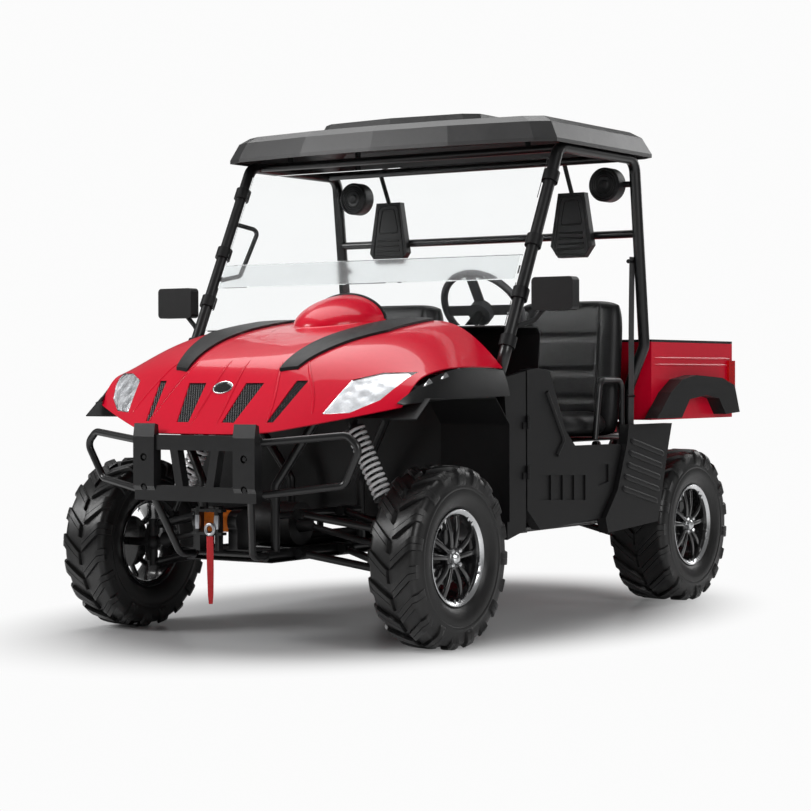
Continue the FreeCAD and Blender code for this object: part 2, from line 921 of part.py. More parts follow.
def build_wheels():
    """Four tyres on four rims."""
    for name, side in (("left", 1), ("right", -1)):
        tyre(f"front_{name}_tyre", d.front_tyre_x * side, front_axle_y, d.front_tyre_half, d.front_rim_half)
        rim(f"front_{name}_rim", d.front_tyre_x, front_axle_y, d.front_rim_half, side)
        tyre(f"rear_{name}_tyre", d.rear_tyre_x * side, d.rear_axle_y, d.rear_tyre_half, d.rear_rim_half)
        rim(f"rear_{name}_rim", d.rear_tyre_x, d.rear_axle_y, d.rear_rim_half, side)


# Knuckles and suspension

def knuckle(name, inner_x, y, spindle_end):
    """An upright that is round about the steering axis, with the spindle that its wheel turns on."""
    middle_x = inner_x + d.upright_thick * HALF_SHARE
    low = d.tyre_radius - d.upright_reach
    reach = d.upright_reach * TWICE_SHARE
    post = cylinder(f"{name}_post", d.upright_thick * HALF_SHARE, reach, (middle_x, y, low), UPWARDS)
    waist = d.upright_half * HALF_SHARE
    low_z = d.tyre_radius - d.upright_half * TWICE_SHARE
    high_z = d.tyre_radius + d.upright_half * TWICE_SHARE
    points = [
        (y - waist, low_z), (y + waist, low_z), (y + d.upright_half, d.tyre_radius),
        (y + waist, high_z), (y - waist, high_z), (y - d.upright_half, d.tyre_radius),
    ]
    plate = slab(f"{name}_plate", "YZ_Plane", points, middle_x, d.upright_thick * HALF_SHARE)
    cup = doc.addObject("Part::Sphere", f"{name}_cup")
    bind(cup, Radius=d.cup_radius)
    place(cup, middle_x, y, d.tyre_radius)
    start = (inner_x, y, d.tyre_radius)
    spindle = cylinder(f"{name}_spindle", d.spindle_radius, spindle_end - inner_x, start, SIDEWAYS)
    return fuse([post, plate, cup, spindle], name)


def build_knuckles():
    """The two steered front knuckles."""
    front_end = d.front_tyre_x + d.front_rim_half - d.spoke_inset
    front = knuckle("front_knuckle", d.kingpin_x - d.upright_thick * HALF_SHARE, front_axle_y, front_end)
    keep(front, "left_knuckle")
    keep(mirrored(front), "right_knuckle")


def wishbone(pivot, tip, spread, seat_x=None):
    """A forked arm from two bushes on the frame to a ball joint, with a seat for the shock if it has one."""
    pivot_x, y, pivot_z = pivot
    shapes = []
    for way in (-1, 1):
        centre = y + spread * way
        ends = (pivot_x, centre - d.arm_bush_half, pivot_z), (pivot_x, centre + d.arm_bush_half, pivot_z)
        shapes.append(bar(*ends, d.arm_bush_radius))
        shapes.append(bar((pivot_x, centre, pivot_z), tip, d.arm_tube))
    shapes.append(Part.makeSphere(float(d.ball_radius), vector(*tip)))
    if seat_x is not None:
        share = float(tip[0] - seat_x) / float(tip[0] - pivot_x)
        half_y = spread * share + d.arm_tube
        top = arm_top(pivot, tip, seat_x)
        low = top - d.shock_seat_thick
        side = [(y - half_y, low), (y + half_y, low), (y + half_y, top), (y - half_y, top)]
        shapes.append(prism(side, seat_x - d.shock_seat_half, seat_x + d.shock_seat_half, "x"))
    return join(shapes)


def arm_top(pivot, tip, x):
    """Height of an arm's upper side at a place across the vehicle."""
    share = float(x - pivot[0]) / float(tip[0] - pivot[0])
    return pivot[2] + (tip[2] - pivot[2]) * share + d.arm_tube


def arm_ends(front):
    """The pivots and ball joints of one left wheel's lower and upper arm."""
    y = front_axle_y if front else d.rear_axle_y
    inner = d.kingpin_x - d.upright_thick * HALF_SHARE if front else d.rear_knuckle_x
    tip_x = inner - d.ball_radius - d.seat_gap
    reach = d.upright_reach - d.ball_radius
    low_x = d.rail_x + d.rail_radius + d.arm_bush_radius + d.seat_gap
    high_x = d.rail_x + d.brace_radius + d.arm_bush_radius + d.seat_gap
    low = (low_x, y, d.rail_z), (tip_x, y, d.tyre_radius - reach)
    high = (high_x, y, d.upper_arm_z), (tip_x, y, d.tyre_radius + reach)
    return low, high


def build_suspension_arms():
    """Upper and lower arms at all four wheels."""
    shapes = []
    front_arm = True, d.front_arm_spread, d.shock_foot_x
    rear_arm = False, d.rear_arm_spread, d.rear_shock_foot_x
    for front, spread, foot_x in (front_arm, rear_arm):
        low, high = arm_ends(front)
        shapes.append(wishbone(*low, spread))
        shapes.append(wishbone(*high, spread, foot_x))
    pair(feature("left_arms", Part.makeCompound(shapes)), "suspension_arms")


def shock(top, foot):
    """A coil-over shock absorber between two eyes, its spring as one sleeve."""
    a, b = vector(*top), vector(*foot)
    way = (b - a).normalize()
    length = (b - a).Length
    shapes = [rod(a, way, length, d.damper_radius)]
    for point in (a, b):
        start = point - BACKWARDS * float(d.shock_eye_half)
        shapes.append(rod(start, BACKWARDS, d.shock_eye_half * TWICE_SHARE, d.shock_eye_radius))
    spring_start = a + way * float(d.shock_eye_radius * TWICE_SHARE)
    shapes.append(rod(spring_start, way, length * SPRING_SHARE, d.spring_radius))
    return join(shapes)


def build_shocks():
    """One shock absorber at each wheel, from the frame to the upper arm."""
    shapes = []
    rear_top_z = d.bed_rail_z - d.bed_rail_radius - d.shock_eye_radius - d.seat_gap
    front_shock = True, d.shock_top_x, d.shock_top_z, d.shock_foot_x
    rear_shock = False, d.bed_rail_x, rear_top_z, d.rear_shock_foot_x
    for front, top_x, top_z, foot_x in (front_shock, rear_shock):
        pivot, tip = arm_ends(front)[1]
        foot_z = arm_top(pivot, tip, foot_x) + d.shock_eye_radius + d.seat_gap
        shapes.append(shock((top_x, pivot[1], top_z), (foot_x, pivot[1], foot_z)))
    pair(feature("left_shocks", Part.makeCompound(shapes)), "shock_absorbers")


# Frame and driveline

def across(y, z, half, radius):
    """A bar across the vehicle."""
    return bar((-half, y, z), (half, y, z), radius)


def frame_lines():
    """The frame's left tubes along the vehicle: points, radius and bend of each."""
    rail = [(d.rail_x, d.rail_front_y, d.rail_z), (d.rail_x, d.rail_rear_y, d.rail_z)]
    side_rail = [
        (d.side_rail_x, d.side_rail_front_y, d.side_rail_z),
        (d.side_rail_x, d.side_rail_rear_y, d.side_rail_z),
    ]
    tower = [
        (d.rail_x, d.tower_front_y, d.rail_z), (d.rail_x, d.tower_front_y, d.tower_waist_z),
        (d.shock_top_x, d.tower_front_y + d.frame_bend, tower_top_z),
        (d.shock_top_x, d.tower_rear_y - d.frame_bend, tower_top_z),
        (d.rail_x, d.tower_rear_y, d.tower_waist_z), (d.rail_x, d.tower_rear_y, d.rail_z),
    ]
    bed_rail = [
        (d.rail_x, d.side_rail_rear_y, d.rail_z), (d.bed_rail_x, d.bed_rail_front_y, d.rear_waist_z),
        (d.bed_rail_x, d.bed_rail_front_y + d.frame_bend, d.bed_rail_z),
        (d.bed_rail_x, d.hinge_y, d.bed_rail_z),
    ]
    rise = d.hinge_y - rear_post_y + d.bed_rail_x - d.rail_x
    post = [
        (d.rail_x, rear_post_y, d.rail_z), (d.rail_x, rear_post_y, d.rear_waist_z),
        (d.bed_rail_x, d.hinge_y, d.rear_waist_z + rise), (d.bed_rail_x, d.hinge_y, d.hinge_z),
    ]
    upright = [(d.rail_x, d.rear_frame_y, d.rail_z), (d.rail_x, d.rear_frame_y, d.upper_arm_z + d.overrun)]
    lines = [(rail, d.rail_radius, ZERO), (side_rail, d.rail_radius, ZERO), (upright, d.cross_radius, ZERO)]
    lines += [(tower, d.cross_radius, d.frame_bend), (bed_rail, d.bed_rail_radius, d.frame_bend)]
    lines.append((post, d.cross_radius, d.frame_bend))
    for front_y, rear_y in ((d.tower_front_y, d.tower_rear_y), (d.rear_frame_y, rear_post_y)):
        arm_rail = [(d.rail_x, front_y, d.upper_arm_z), (d.rail_x, rear_y, d.upper_arm_z)]
        lines.append((arm_rail, d.brace_radius, ZERO))
    return lines


def build_frame():
    """Rails, side rails, cross tubes, the front tower, the rear frame, bed rails and the hinge tube."""
    shapes = []
    for points, radius, bend in frame_lines():
        shapes += both_sides(points, radius, bend)
    floor_tube_z = d.floor_z - d.cross_radius - d.seat_gap
    for y in (d.floor_tube_front_y, d.seat_box_y - d.overrun, d.floor_tube_rear_y):
        shapes.append(across(y, floor_tube_z, d.side_rail_x, d.cross_radius))
        shapes += both_sides([(d.rail_x, y, d.rail_z), (d.rail_x, y, floor_tube_z)], d.brace_radius)
    for y in (d.outrigger_front_y, d.outrigger_rear_y):
        stub = [(d.side_rail_x, y, d.side_rail_z), (d.panel_inner_x - d.seat_gap, y, d.side_rail_z)]
        shapes += both_sides(stub, d.outrigger_radius)
    for y in (d.rail_front_y + d.overrun, front_axle_y, d.rear_axle_y, rear_post_y):
        shapes.append(across(y, d.rail_z, d.rail_x, d.cross_radius))
    shapes.append(across(d.hinge_y, d.hinge_z, d.hinge_half, d.hinge_tube))
    inset = d.frame_bend * TWICE_SHARE
    for y in (d.tower_front_y + inset, d.tower_rear_y - inset):
        shapes.append(across(y, tower_top_z, d.shock_top_x, d.brace_radius))
    keep(feature("frame", join(shapes)), "chassis_frame")


def build_engine():
    """The engine with its gearbox as one plain block."""
    body = new_body("block")
    low = d.rail_z + d.rail_radius + d.seat_gap
    points = [
        (d.engine_front_y, low), (d.engine_rear_y, low),
        (d.engine_rear_y, d.engine_top_z), (d.engine_front_y, d.engine_top_z),
    ]
    pad(body, "YZ_Plane", points, -d.engine_half, d.engine_half * TWICE_SHARE)
    edge_z = float(d.engine_top_z - d.overrun)
    round_edges(body, d.engine_round, SIDEWAYS, lambda edge: edge.CenterOfMass.z > edge_z)
    keep(body, "engine_block")


def drive_shaft(y, case_z, middle_x):
    """The left shaft of an axle with its two boots, from the final drive to the knuckle's cup."""
    start = vector(d.case_half + d.seat_gap, y, case_z)
    hub = vector(middle_x, y, d.tyre_radius)
    toward = (hub - start).normalize()
    boot = float(d.boot_length)
    shaft = rod(start, toward, (hub - start).Length, d.axle_shaft_radius)
    inner = Part.makeCone(float(d.boot_radius), float(d.prop_radius), boot, start, toward)
    end = hub - toward * float(d.cup_radius * TWICE_SHARE)
    outer = Part.makeCone(float(d.prop_radius), float(d.cup_radius), boot, end - toward * boot, toward)
    cup = Part.makeSphere(float(d.cup_radius + d.seat_gap), hub)
    return join([shaft, inner, outer]).cut(cup)


def build_driveline():
    """Final drives, the shafts to them and to the wheels, and the fixed rear knuckles."""
    shapes = []
    case_z = d.rail_z + d.cross_radius + d.case_radius + d.seat_gap
    rear_middle_x = d.rear_knuckle_x + d.upright_thick * HALF_SHARE
    front_axle = front_axle_y, 1, d.engine_front_y, d.kingpin_x
    rear_axle = d.rear_axle_y, -1, d.engine_rear_y, rear_middle_x
    for y, way, engine_y, middle_x in (front_axle, rear_axle):
        nose = y + d.pinion_length * way
        case = across(y, case_z, d.case_half, d.case_radius)
        shapes.append(join([case, bar((0, y, d.prop_z), (0, nose, d.prop_z), d.pinion_radius)]))
        ends = (0, nose + d.seat_gap * way, d.prop_z), (0, engine_y - d.seat_gap * way, d.prop_z)
        shapes.append(bar(*ends, d.prop_radius))
        left = drive_shaft(y, case_z, middle_x)
        shapes += [left, right_of(left)]
    spindle_end = d.rear_tyre_x + d.rear_rim_half - d.spoke_inset
    rear = knuckle("rear_knuckle", d.rear_knuckle_x, d.rear_axle_y, spindle_end)
    shafts = feature("shafts", Part.makeCompound(shapes))
    keep(compound_of([shafts, rear, mirrored(rear)], "axles"), "driveline")


# Roll cage

def pillar_y(z):
    """Depth of the front pillar's line at a height."""
    share = float(z - d.pillar_base_z) / float(d.cage_top_z - d.pillar_base_z)
    return d.pillar_base_y + (d.pillar_top_y - d.pillar_base_y) * share


def rear_pillar_y(z):
    """Depth of the rear pillar's line at a height."""
    share = float(z - d.rear_pillar_base_z) / float(d.cage_top_z - d.rear_pillar_base_z)
    return d.rear_pillar_base_y + (d.rear_pillar_top_y - d.rear_pillar_base_y) * share


def side_hoop(radius):
    """The bent side tubes of the cage, left and right, at a radius."""
    foot_z = d.side_rail_z + d.rail_radius + d.seat_gap
    hoop = [
        (d.cage_foot_x, d.pillar_foot_y, foot_z), (d.cage_foot_x, d.pillar_foot_y, d.pillar_knee_z),
        (d.cage_x, d.pillar_base_y, d.pillar_base_z), (d.cage_x, d.pillar_top_y, d.cage_top_z),
        (d.cage_x, d.rear_pillar_top_y, d.cage_top_z), (d.cage_x, d.rear_pillar_base_y, d.rear_pillar_base_z),
        (d.cage_foot_x, d.rear_pillar_base_y, d.pillar_knee_z), (d.cage_foot_x, d.rear_pillar_base_y, foot_z),
    ]
    return both_sides(hoop, radius, d.cage_knee_bend)


def clear_of_hoops(item, name):
    """An object less the space of the cage's side tubes and their seating gap."""
    return cut(item, feature("hoop_space", Part.makeCompound(side_hoop(d.cage_tube + d.seat_gap))), name)


def build_roll_cage():
    """Two side hoops, three bars across, four posts to the roof and a grab handle on the right pillar."""
    shapes = side_hoop(d.cage_tube)
    roof_inside = d.roof_top_z - d.roof_wall
    for y in (d.roof_bar_front_y, d.roof_bar_rear_y):
        shapes.append(across(y, d.cage_top_z, d.cage_x, d.cross_radius))
        post = [(d.roof_post_x, y, d.cage_top_z), (d.roof_post_x, y, roof_inside - d.seat_gap)]
        shapes += both_sides(post, d.roof_post_radius)
    shapes.append(across(rear_pillar_y(d.cross_bar_z), d.cross_bar_z, d.cage_x, d.cross_radius))
    low_y, high_y = pillar_y(d.handle_low_z), pillar_y(d.handle_high_z)
    grip_x = -d.cage_x + d.handle_reach * HALF_SHARE
    handle = [
        (-d.cage_x, low_y, d.handle_low_z),
        (grip_x, low_y + d.handle_reach, d.handle_low_z + d.handle_reach * QUARTER_SHARE),
        (grip_x, high_y + d.handle_reach, d.handle_high_z - d.handle_reach * QUARTER_SHARE),
        (-d.cage_x, high_y, d.handle_high_z),
    ]
    shapes.append(tube(handle, d.handle_radius, d.hoop_bend * HALF_SHARE))
    keep(feature("cage", join(shapes)), "roll_cage")


def build_hip_hoops():
    """A low hoop at the outer side of each seat."""
    foot = d.seat_box_z + d.floor_thick + d.seat_gap
    hip = [
        (d.hoop_x, d.hoop_front_y, foot), (d.hoop_x, d.hoop_front_y + d.hoop_bend, d.hoop_top_z),
        (d.hoop_x, d.hoop_rear_y, d.hoop_top_z), (d.hoop_x, d.hoop_rear_y, foot),
    ]
    near, far = d.hoop_x - d.overrun, d.hoop_x + d.overrun
    below = [(near, d.hoop_front_y - d.overrun), (far, d.hoop_front_y - d.overrun)]
    below += [(far, d.hoop_rear_y + d.overrun), (near, d.hoop_rear_y + d.overrun)]
    left = tube(hip, d.hoop_radius, d.hoop_bend).cut(prism(below, foot - d.overrun, foot, "z"))
    pair(feature("hoop", left), "hip_hoops")


def pillar_clamps():
    """Four clamps on the left front pillar that hold the windshield."""
    shapes = []
    base = vector(d.cage_x, d.pillar_base_y, d.pillar_base_z)
    top = vector(d.cage_x, d.pillar_top_y, d.cage_top_z)
    way = (top - base).normalize()
    for share in CLAMP_HEIGHT_SHARES:
        centre = base + (top - base) * share
        start = centre - way * float(d.clamp_half)
        length = d.clamp_half * TWICE_SHARE
        ring = rod(start, way, length, d.clamp_radius)
        shapes.append(ring.cut(rod(start, way, length, d.cage_tube + d.seat_gap)))
    return feature("left_clamps", Part.makeCompound(shapes))


def build_windshield():
    """Two clear panes that lap in the middle, leaning with the front pillars."""
    lean = math.atan2(float(d.pillar_top_y - d.pillar_base_y), float(d.cage_top_z - d.pillar_base_z))
    turned = FreeCAD.Rotation(SIDEWAYS, -math.degrees(lean))
    half = d.cage_x - d.clamp_radius - d.seat_gap
    clear = d.glass_thick * QUARTER_SHARE + d.seat_gap
    foot = (d.dash_top_z + clear - d.pillar_base_z) / math.cos(lean)
    lower = foot, d.glass_split + d.glass_lap, ZERO
    upper = d.glass_split, d.glass_top, d.glass_thick + d.seat_gap
    panes = []
    for low, high, step in (lower, upper):
        points = [(-half, low), (half, low), (half, high), (-half, high)]
        pane = slab("pane", "XZ_Plane", points, step - d.glass_thick * HALF_SHARE, d.glass_thick)
        place(pane, ZERO, d.pillar_base_y, d.pillar_base_z, turned)
        panes.append(pane)
    keep(compound_of(panes, "panes"), "windshield")


# Roof

def roof_ring(shares, half, front, rear, z):
    """A closed outline of the roof at a height, from shares over its left half."""
    left = [vector(half * a, front + (rear - front) * b, z) for a, b in shares]
    right = [FreeCAD.Vector(-p.x, p.y, p.z) for p in reversed(left) if abs(p.x) > float(d.tolerance)]
    ring = left + right
    return Part.makePolygon(ring + ring[:1])


def roof_level(shares, half, size_share, z, inset):
    """An outline of the roof drawn in towards its middle and moved inwards by an inset."""
    front, rear = d.roof_front_y + inset, d.roof_rear_y - inset
    centre = (front + rear) * HALF_SHARE
    near = centre + (front - centre) * size_share
    far = centre + (rear - centre) * size_share
    return roof_ring(shares, (half - inset) * size_share, near, far, z - inset)


def roof_block(inset):
    """The roof's outer form moved inwards by an inset: a lip, sloping sides and a raised middle."""
    skirt = Part.makeLoft([
        roof_level(ROOF_PLAN_SHARES, d.roof_half, 1, d.roof_lip_z, inset),
        roof_level(ROOF_PLAN_SHARES, d.roof_half, 1, d.roof_lip_z + d.roof_lip_height, inset),
        roof_level(ROOF_PLAN_SHARES, d.roof_half, ROOF_SHOULDER_SHARE, d.roof_shoulder_z, inset),
        roof_level(ROOF_PLAN_SHARES, d.roof_half, ROOF_TOP_SHARE, d.roof_top_z, inset),
    ], True, True)
    crown = Part.makeLoft([
        roof_level(ROOF_CROWN_SHARES, d.roof_crown_half, 1, d.roof_shoulder_z, inset),
        roof_level(ROOF_CROWN_SHARES, d.roof_crown_half, ROOF_CROWN_TOP_SHARE, d.roof_crown_z, inset),
    ], True, True)
    return skirt.fuse(crown).removeSplitter()


def build_roof():
    """A moulded hard roof, open below."""
    outer = roof_block(ZERO)
    inner = roof_block(d.roof_wall)
    keep(feature("shell", outer.cut(inner)), "roof")


# Hood and front body

def hood_point(row, across, sweep, side):
    """One point of the hood's skin from a station's shares and a place across it."""
    depth_share, edge_share, half_share, top_share, low_share, blunt = row
    length = d.hood_rear_y - d.hood_front_y
    height = d.hood_high_z - d.hood_low_z
    depth = depth_share + (edge_share - depth_share) * sweep
    drop = across ** (TWICE_SHARE * blunt) if blunt > 1 else sweep
    rise = top_share + (low_share - top_share) * drop
    x = d.hood_half * half_share * across * side
    return vector(x, d.hood_front_y + length * depth, d.hood_low_z + height * rise)


def hood_surface():
    """The smooth outer skin of the nose and hood through its stations."""
    across = [(1, *places) for places in reversed(HOOD_SWEEP_SHARES[1:])]
    across += [(-1, *places) for places in HOOD_SWEEP_SHARES]
    return soft_face([
        [hood_point(row, share, sweep, side) for side, share, sweep in across]
        for row in HOOD_STATION_SHARES
    ])


def soft_knots(count, degree):
    """Even clamped knots for a row of control points, with how often each counts."""
    spans = count - degree
    return list(range(spans + 1)), [degree + 1] + [1] * (spans - 1) + [degree + 1]


def soft_face(grid):
    """A smooth face drawn towards a grid of control points, meeting those at its corners."""
    u_degree, v_degree = min(3, len(grid) - 1), min(3, len(grid[0]) - 1)
    u_knots, u_counts = soft_knots(len(grid), u_degree)
    v_knots, v_counts = soft_knots(len(grid[0]), v_degree)
    surface = Part.BSplineSurface()
    knots = u_counts, v_counts, u_knots, v_knots
    surface.buildFromPolesMultsKnots(grid, *knots, False, False, u_degree, v_degree)
    return surface.toShape()


def layer(face, start, depth):
    """The solid between two offsets of a face."""
    tolerance = float(d.tolerance)
    base = face.makeOffsetShape(float(start), tolerance) if float(start) else face
    return base.makeOffsetShape(float(depth), tolerance, fill=True)


def hood_share_points(shares, side=1):
    """Points of the hood's front view from shares of its half width and height."""
    height = d.hood_high_z - d.hood_low_z
    return [(d.hood_half * a * side, d.hood_low_z + height * b) for a, b in shares]


def shrink(points, gap):
    """An outline with each point moved towards the middle by a gap."""
    cx = sum(float(a) for a, _ in points) / len(points)
    cy = sum(float(b) for _, b in points) / len(points)
    moved = []
    for a, b in points:
        reach = math.hypot(float(a) - cx, float(b) - cy)
        share = 1 - float(gap) / reach
        moved.append((cx + (float(a) - cx) * share, cy + (float(b) - cy) * share))
    return moved


def through_nose(shares, side=1, gap=ZERO):
    """A prism through the nose, front to back, over an outline given in shares."""
    points = hood_share_points(shares, side)
    if float(gap):
        points = shrink(points, gap)
    return prism(points, d.hood_front_y - d.overrun, d.hood_front_y + d.hood_half, "y")


def dome(inset):
    """The scoop's outer form moved inwards by an inset: the front half of an ellipsoid."""
    stretch = FreeCAD.Matrix()
    stretch.scale(vector(d.scoop_half - inset, d.scoop_length - inset, d.scoop_height - inset))
    ball = Part.makeSphere(1).transformGeometry(stretch)
    ball.translate(vector(0, d.hood_rear_y, d.scoop_base_z))
    reach = d.scoop_half + d.overrun
    front = d.hood_rear_y - d.scoop_length - d.overrun
    plan = [(-reach, front), (reach, front), (reach, d.hood_rear_y), (-reach, d.hood_rear_y)]
    return ball.common(prism(plan, d.hood_low_z, d.scoop_base_z + d.scoop_height + d.overrun, "z"))


def build_hood():
    """The painted nose and hood in one skin with slots, lamp openings and the scoop; grilles and lamps."""
    face = hood_surface()
    skin = layer(face, ZERO, -d.hood_skin)
    openings = [through_nose(shares, side) for shares in NOSE_SLOT_SHARES for side in (1, -1)]
    openings += [through_nose(LAMP_SHARES, side) for side in (1, -1)]
    sunk = face.translated(vector(0, 0, -d.hood_skin * HALF_SHARE))
    above = sunk.extrude(vector(0, 0, d.scoop_height * TWICE_SHARE))
    scoop = dome(ZERO).cut(dome(d.scoop_wall)).common(above)
    painted = skin.cut(openings).fuse(scoop).removeSplitter()
    keep(clear_of_hoops(feature("hood_skin", painted), "hood_panel"), "hood")
    lens = layer(face, ZERO, -d.lamp_depth)
    lights = [lens.common(through_nose(LAMP_SHARES, side, d.lamp_gap)) for side in (1, -1)]
    keep(feature("lights", Part.makeCompound(lights)), "headlamps")
    mesh = layer(face, -d.hood_skin - d.seat_gap, -d.mesh_thick).common(through_nose(MESH_SHARES))
    ribbon = layer(face, d.seat_gap, d.strip_height)
    length = d.hood_rear_y - d.hood_front_y
    grilles = [mesh]
    for side in (1, -1):
        points = [(d.hood_half * a * side, d.hood_front_y + length * b) for a, b in STRIP_SHARES]
        grilles.append(ribbon.common(prism(points, d.hood_low_z, d.hood_high_z + d.overrun, "z")))
    keep(feature("grilles", Part.makeCompound(grilles)), "hood_grilles")


def fender_skin():
    """The left fender's outer skin from the hood's side edge out to the wheel arch lip."""
    length = d.hood_rear_y - d.hood_front_y
    height = d.hood_high_z - d.hood_low_z
    rows = []
    for along, top_share, low_share, half_share in FENDER_STATION_SHARES:
        y = d.hood_front_y + length * along
        top_x = d.hood_half * half_share + d.fender_gap
        low_x = d.fender_half * half_share
        top_z = d.hood_low_z + height * top_share
        low_z = d.hood_low_z + height * low_share
        middle_x = top_x + (low_x - top_x) * FENDER_BULGE_SHARES[0]
        middle_z = top_z + (low_z - top_z) * FENDER_BULGE_SHARES[1]
        rows.append([vector(top_x, y, top_z), vector(middle_x, y, middle_z), vector(low_x, y, low_z)])
    return layer(soft_face(rows), ZERO, d.fender_skin)


def arch_liner():
    """The folded liner over the left front wheel, down to the floor behind it."""
    front = d.hood_front_y + d.hood_half * THIRD_SHARE
    back = d.firewall_y - d.seat_gap
    top = d.fender_low_z
    outer = [(front + (back - front) * a, top - (top - d.floor_z) * b) for a, b in LINER_SHARES]
    inner = [(y - d.liner_thick, z) for y, z in outer[-2:]]
    inner = [(y, z - d.liner_thick) for y, z in outer[:-2]] + inner
    return slab("liner", "YZ_Plane", outer + inner[::-1], d.liner_inner_x, d.liner_outer_x - d.liner_inner_x)


def build_front_fenders():
    """Black fenders with their arch liners, one a side."""
    skin = feature("fender_skin", fender_skin())
    pair(clear_of_hoops(fuse([skin, arch_liner()], "fender"), "fender_panel"), "front_fenders")


# Cowl, dash and steering

def build_dash():
    """The black dash under the windshield, a hollow moulding open to the front, with the steering column."""
    front = d.hood_rear_y + d.seat_gap
    rear = d.cowl_rear_y
    wall = d.dash_wall
    inset, top = rear - d.overrun, d.dash_top_z - wall
    points = [
        (front, d.dash_top_z), (inset, d.dash_top_z), (rear, d.dash_top_z - d.overrun), (inset, d.dash_low_z),
        (inset - wall, d.dash_low_z), (rear - wall, top - d.overrun), (inset - wall, top), (front, top),
    ]
    moulding = slab("moulding", "YZ_Plane", points, -d.cowl_half, d.cowl_half * TWICE_SHARE)
    passage = feature("column_space", steering_column(d.column_radius + d.seat_gap))
    panel = clear_of_hoops(cut(moulding, passage, "dash_cut"), "dash_panel")
    column = feature("column", steering_column(d.column_radius))
    keep(compound_of([panel, column], "dash_and_column"), "dash")


def steering_frame():
    """The rotation that leans the steering wheel's axis back to the driver."""
    return FreeCAD.Rotation(SIDEWAYS, -(90 - float(d.steering_tilt)))


def steering_column(radius):
    """The round column behind the steering wheel at a radius."""
    axis = steering_frame().multVec(UPWARDS)
    start = vector(d.wheel_x, d.wheel_y, d.wheel_z) - axis * float(d.steering_hub_depth + d.seat_gap)
    return rod(start, -axis, d.column_length, radius)


def build_steering():
    """The steering wheel: a ring on a hub with three spokes."""
    turned = steering_frame()
    centre = (d.wheel_x, d.wheel_y, d.wheel_z)
    ring = doc.addObject("Part::Torus", "ring")
    bind(ring, Radius1=d.steering_radius - d.steering_grip, Radius2=d.steering_grip)
    hub = doc.addObject("Part::Cylinder", "hub")
    bind(hub, Radius=d.steering_hub, Height=d.steering_hub_depth)
    place(hub, ZERO, ZERO, -d.steering_hub_depth)
    spokes = []
    for angle in (0, 90, 180):
        spoke = doc.addObject("Part::Box", "spoke")
        width = d.steering_grip * THRICE_SHARE
        height = d.steering_grip * HALF_SHARE
        bind(spoke, Length=d.steering_radius - d.steering_grip, Width=width, Height=height)
        turn = FreeCAD.Rotation(UPWARDS, angle - 180)
        offset = turn.multVec(vector(0, -width * HALF_SHARE, -height))
        spoke.Placement = FreeCAD.Placement(offset, turn)
        spokes.append(spoke)
    wheel = fuse([ring, hub] + spokes, "steering")
    place(wheel, *centre, rotation=turned)
    keep(wheel, "steering_wheel")


# Floor and seats

def build_floor():
    """A folded steel floor with the box under the seats, and the flat guard under the rails."""
    t = d.floor_thick
    low = [
        (d.firewall_y, d.firewall_top_z), (d.firewall_y, d.floor_z), (d.seat_box_y, d.floor_z),
        (d.seat_box_y, d.seat_box_z), (d.seat_box_rear_y, d.seat_box_z),
    ]
    high = [
        (d.seat_box_rear_y, d.seat_box_z + t), (d.seat_box_y - t, d.seat_box_z + t),
        (d.seat_box_y - t, d.floor_z + t),
        (d.firewall_y + t, d.floor_z + t), (d.firewall_y + t, d.firewall_top_z),
    ]
    pan = slab("pan", "YZ_Plane", low + high, -d.floor_half, d.floor_half * TWICE_SHARE)
    shelf_half = d.panel_inner_x - d.seat_gap
    shelf_z = (d.seat_box_z, d.seat_box_z + t)
    shelf = box("shelf", (-shelf_half, shelf_half), (d.seat_box_y, d.seat_box_rear_y), shelf_z)
    guard_top = d.rail_z - d.rail_radius - d.seat_gap
    guard_z = (guard_top - d.skid_thick, guard_top)
    guard = box("guard", (-d.skid_half, d.skid_half), (d.rail_front_y, d.skid_rear_y), guard_z)
    keep(compound_of([fuse([pan, shelf], "floor"), guard], "floor_and_guard"), "floor_pan")


def build_seats():
    """Two bucket seats: a cushion and a back each."""
    cushion = new_body("cushion")
    low_x, high_x = d.cushion_x - d.cushion_half, d.cushion_x + d.cushion_half
    front, rear = d.cushion_front_y, d.cushion_rear_y
    points = [(low_x, front), (high_x, front), (high_x, rear), (low_x, rear)]
    pad(cushion, "XY_Plane", points, seat_low_z, d.cushion_top_z - seat_low_z)
    round_edges(cushion, d.cushion_round, UPWARDS)
    edge_z = float(d.seat_box_z + d.overrun)
    round_edges(cushion, d.cushion_round, SIDEWAYS, lambda edge: edge.CenterOfMass.z > edge_z)
    back = new_body("back")
    side = [
        (d.back_foot_y, seat_low_z), (d.back_foot_y + d.back_thick, seat_low_z),
        (d.back_foot_y + d.back_thick + d.back_lean, d.back_top_z),
        (d.back_foot_y + d.back_lean, d.back_top_z),
    ]
    pad(back, "YZ_Plane", side, low_x, d.cushion_half * TWICE_SHARE)
    top_z = float(d.back_top_z - d.overrun)
    round_edges(back, d.back_round, BACKWARDS, lambda edge: edge.CenterOfMass.z > top_z)
    pair(compound_of([cushion, back], "seat"), "seats")


# Doors and side panels

def door_points(shares):
    """An outline on the door seen from the side, from shares of its length and height."""
    return [(d.door_hinge_y + d.door_length * a, d.door_low_z + d.door_height * b) for a, b in shares]


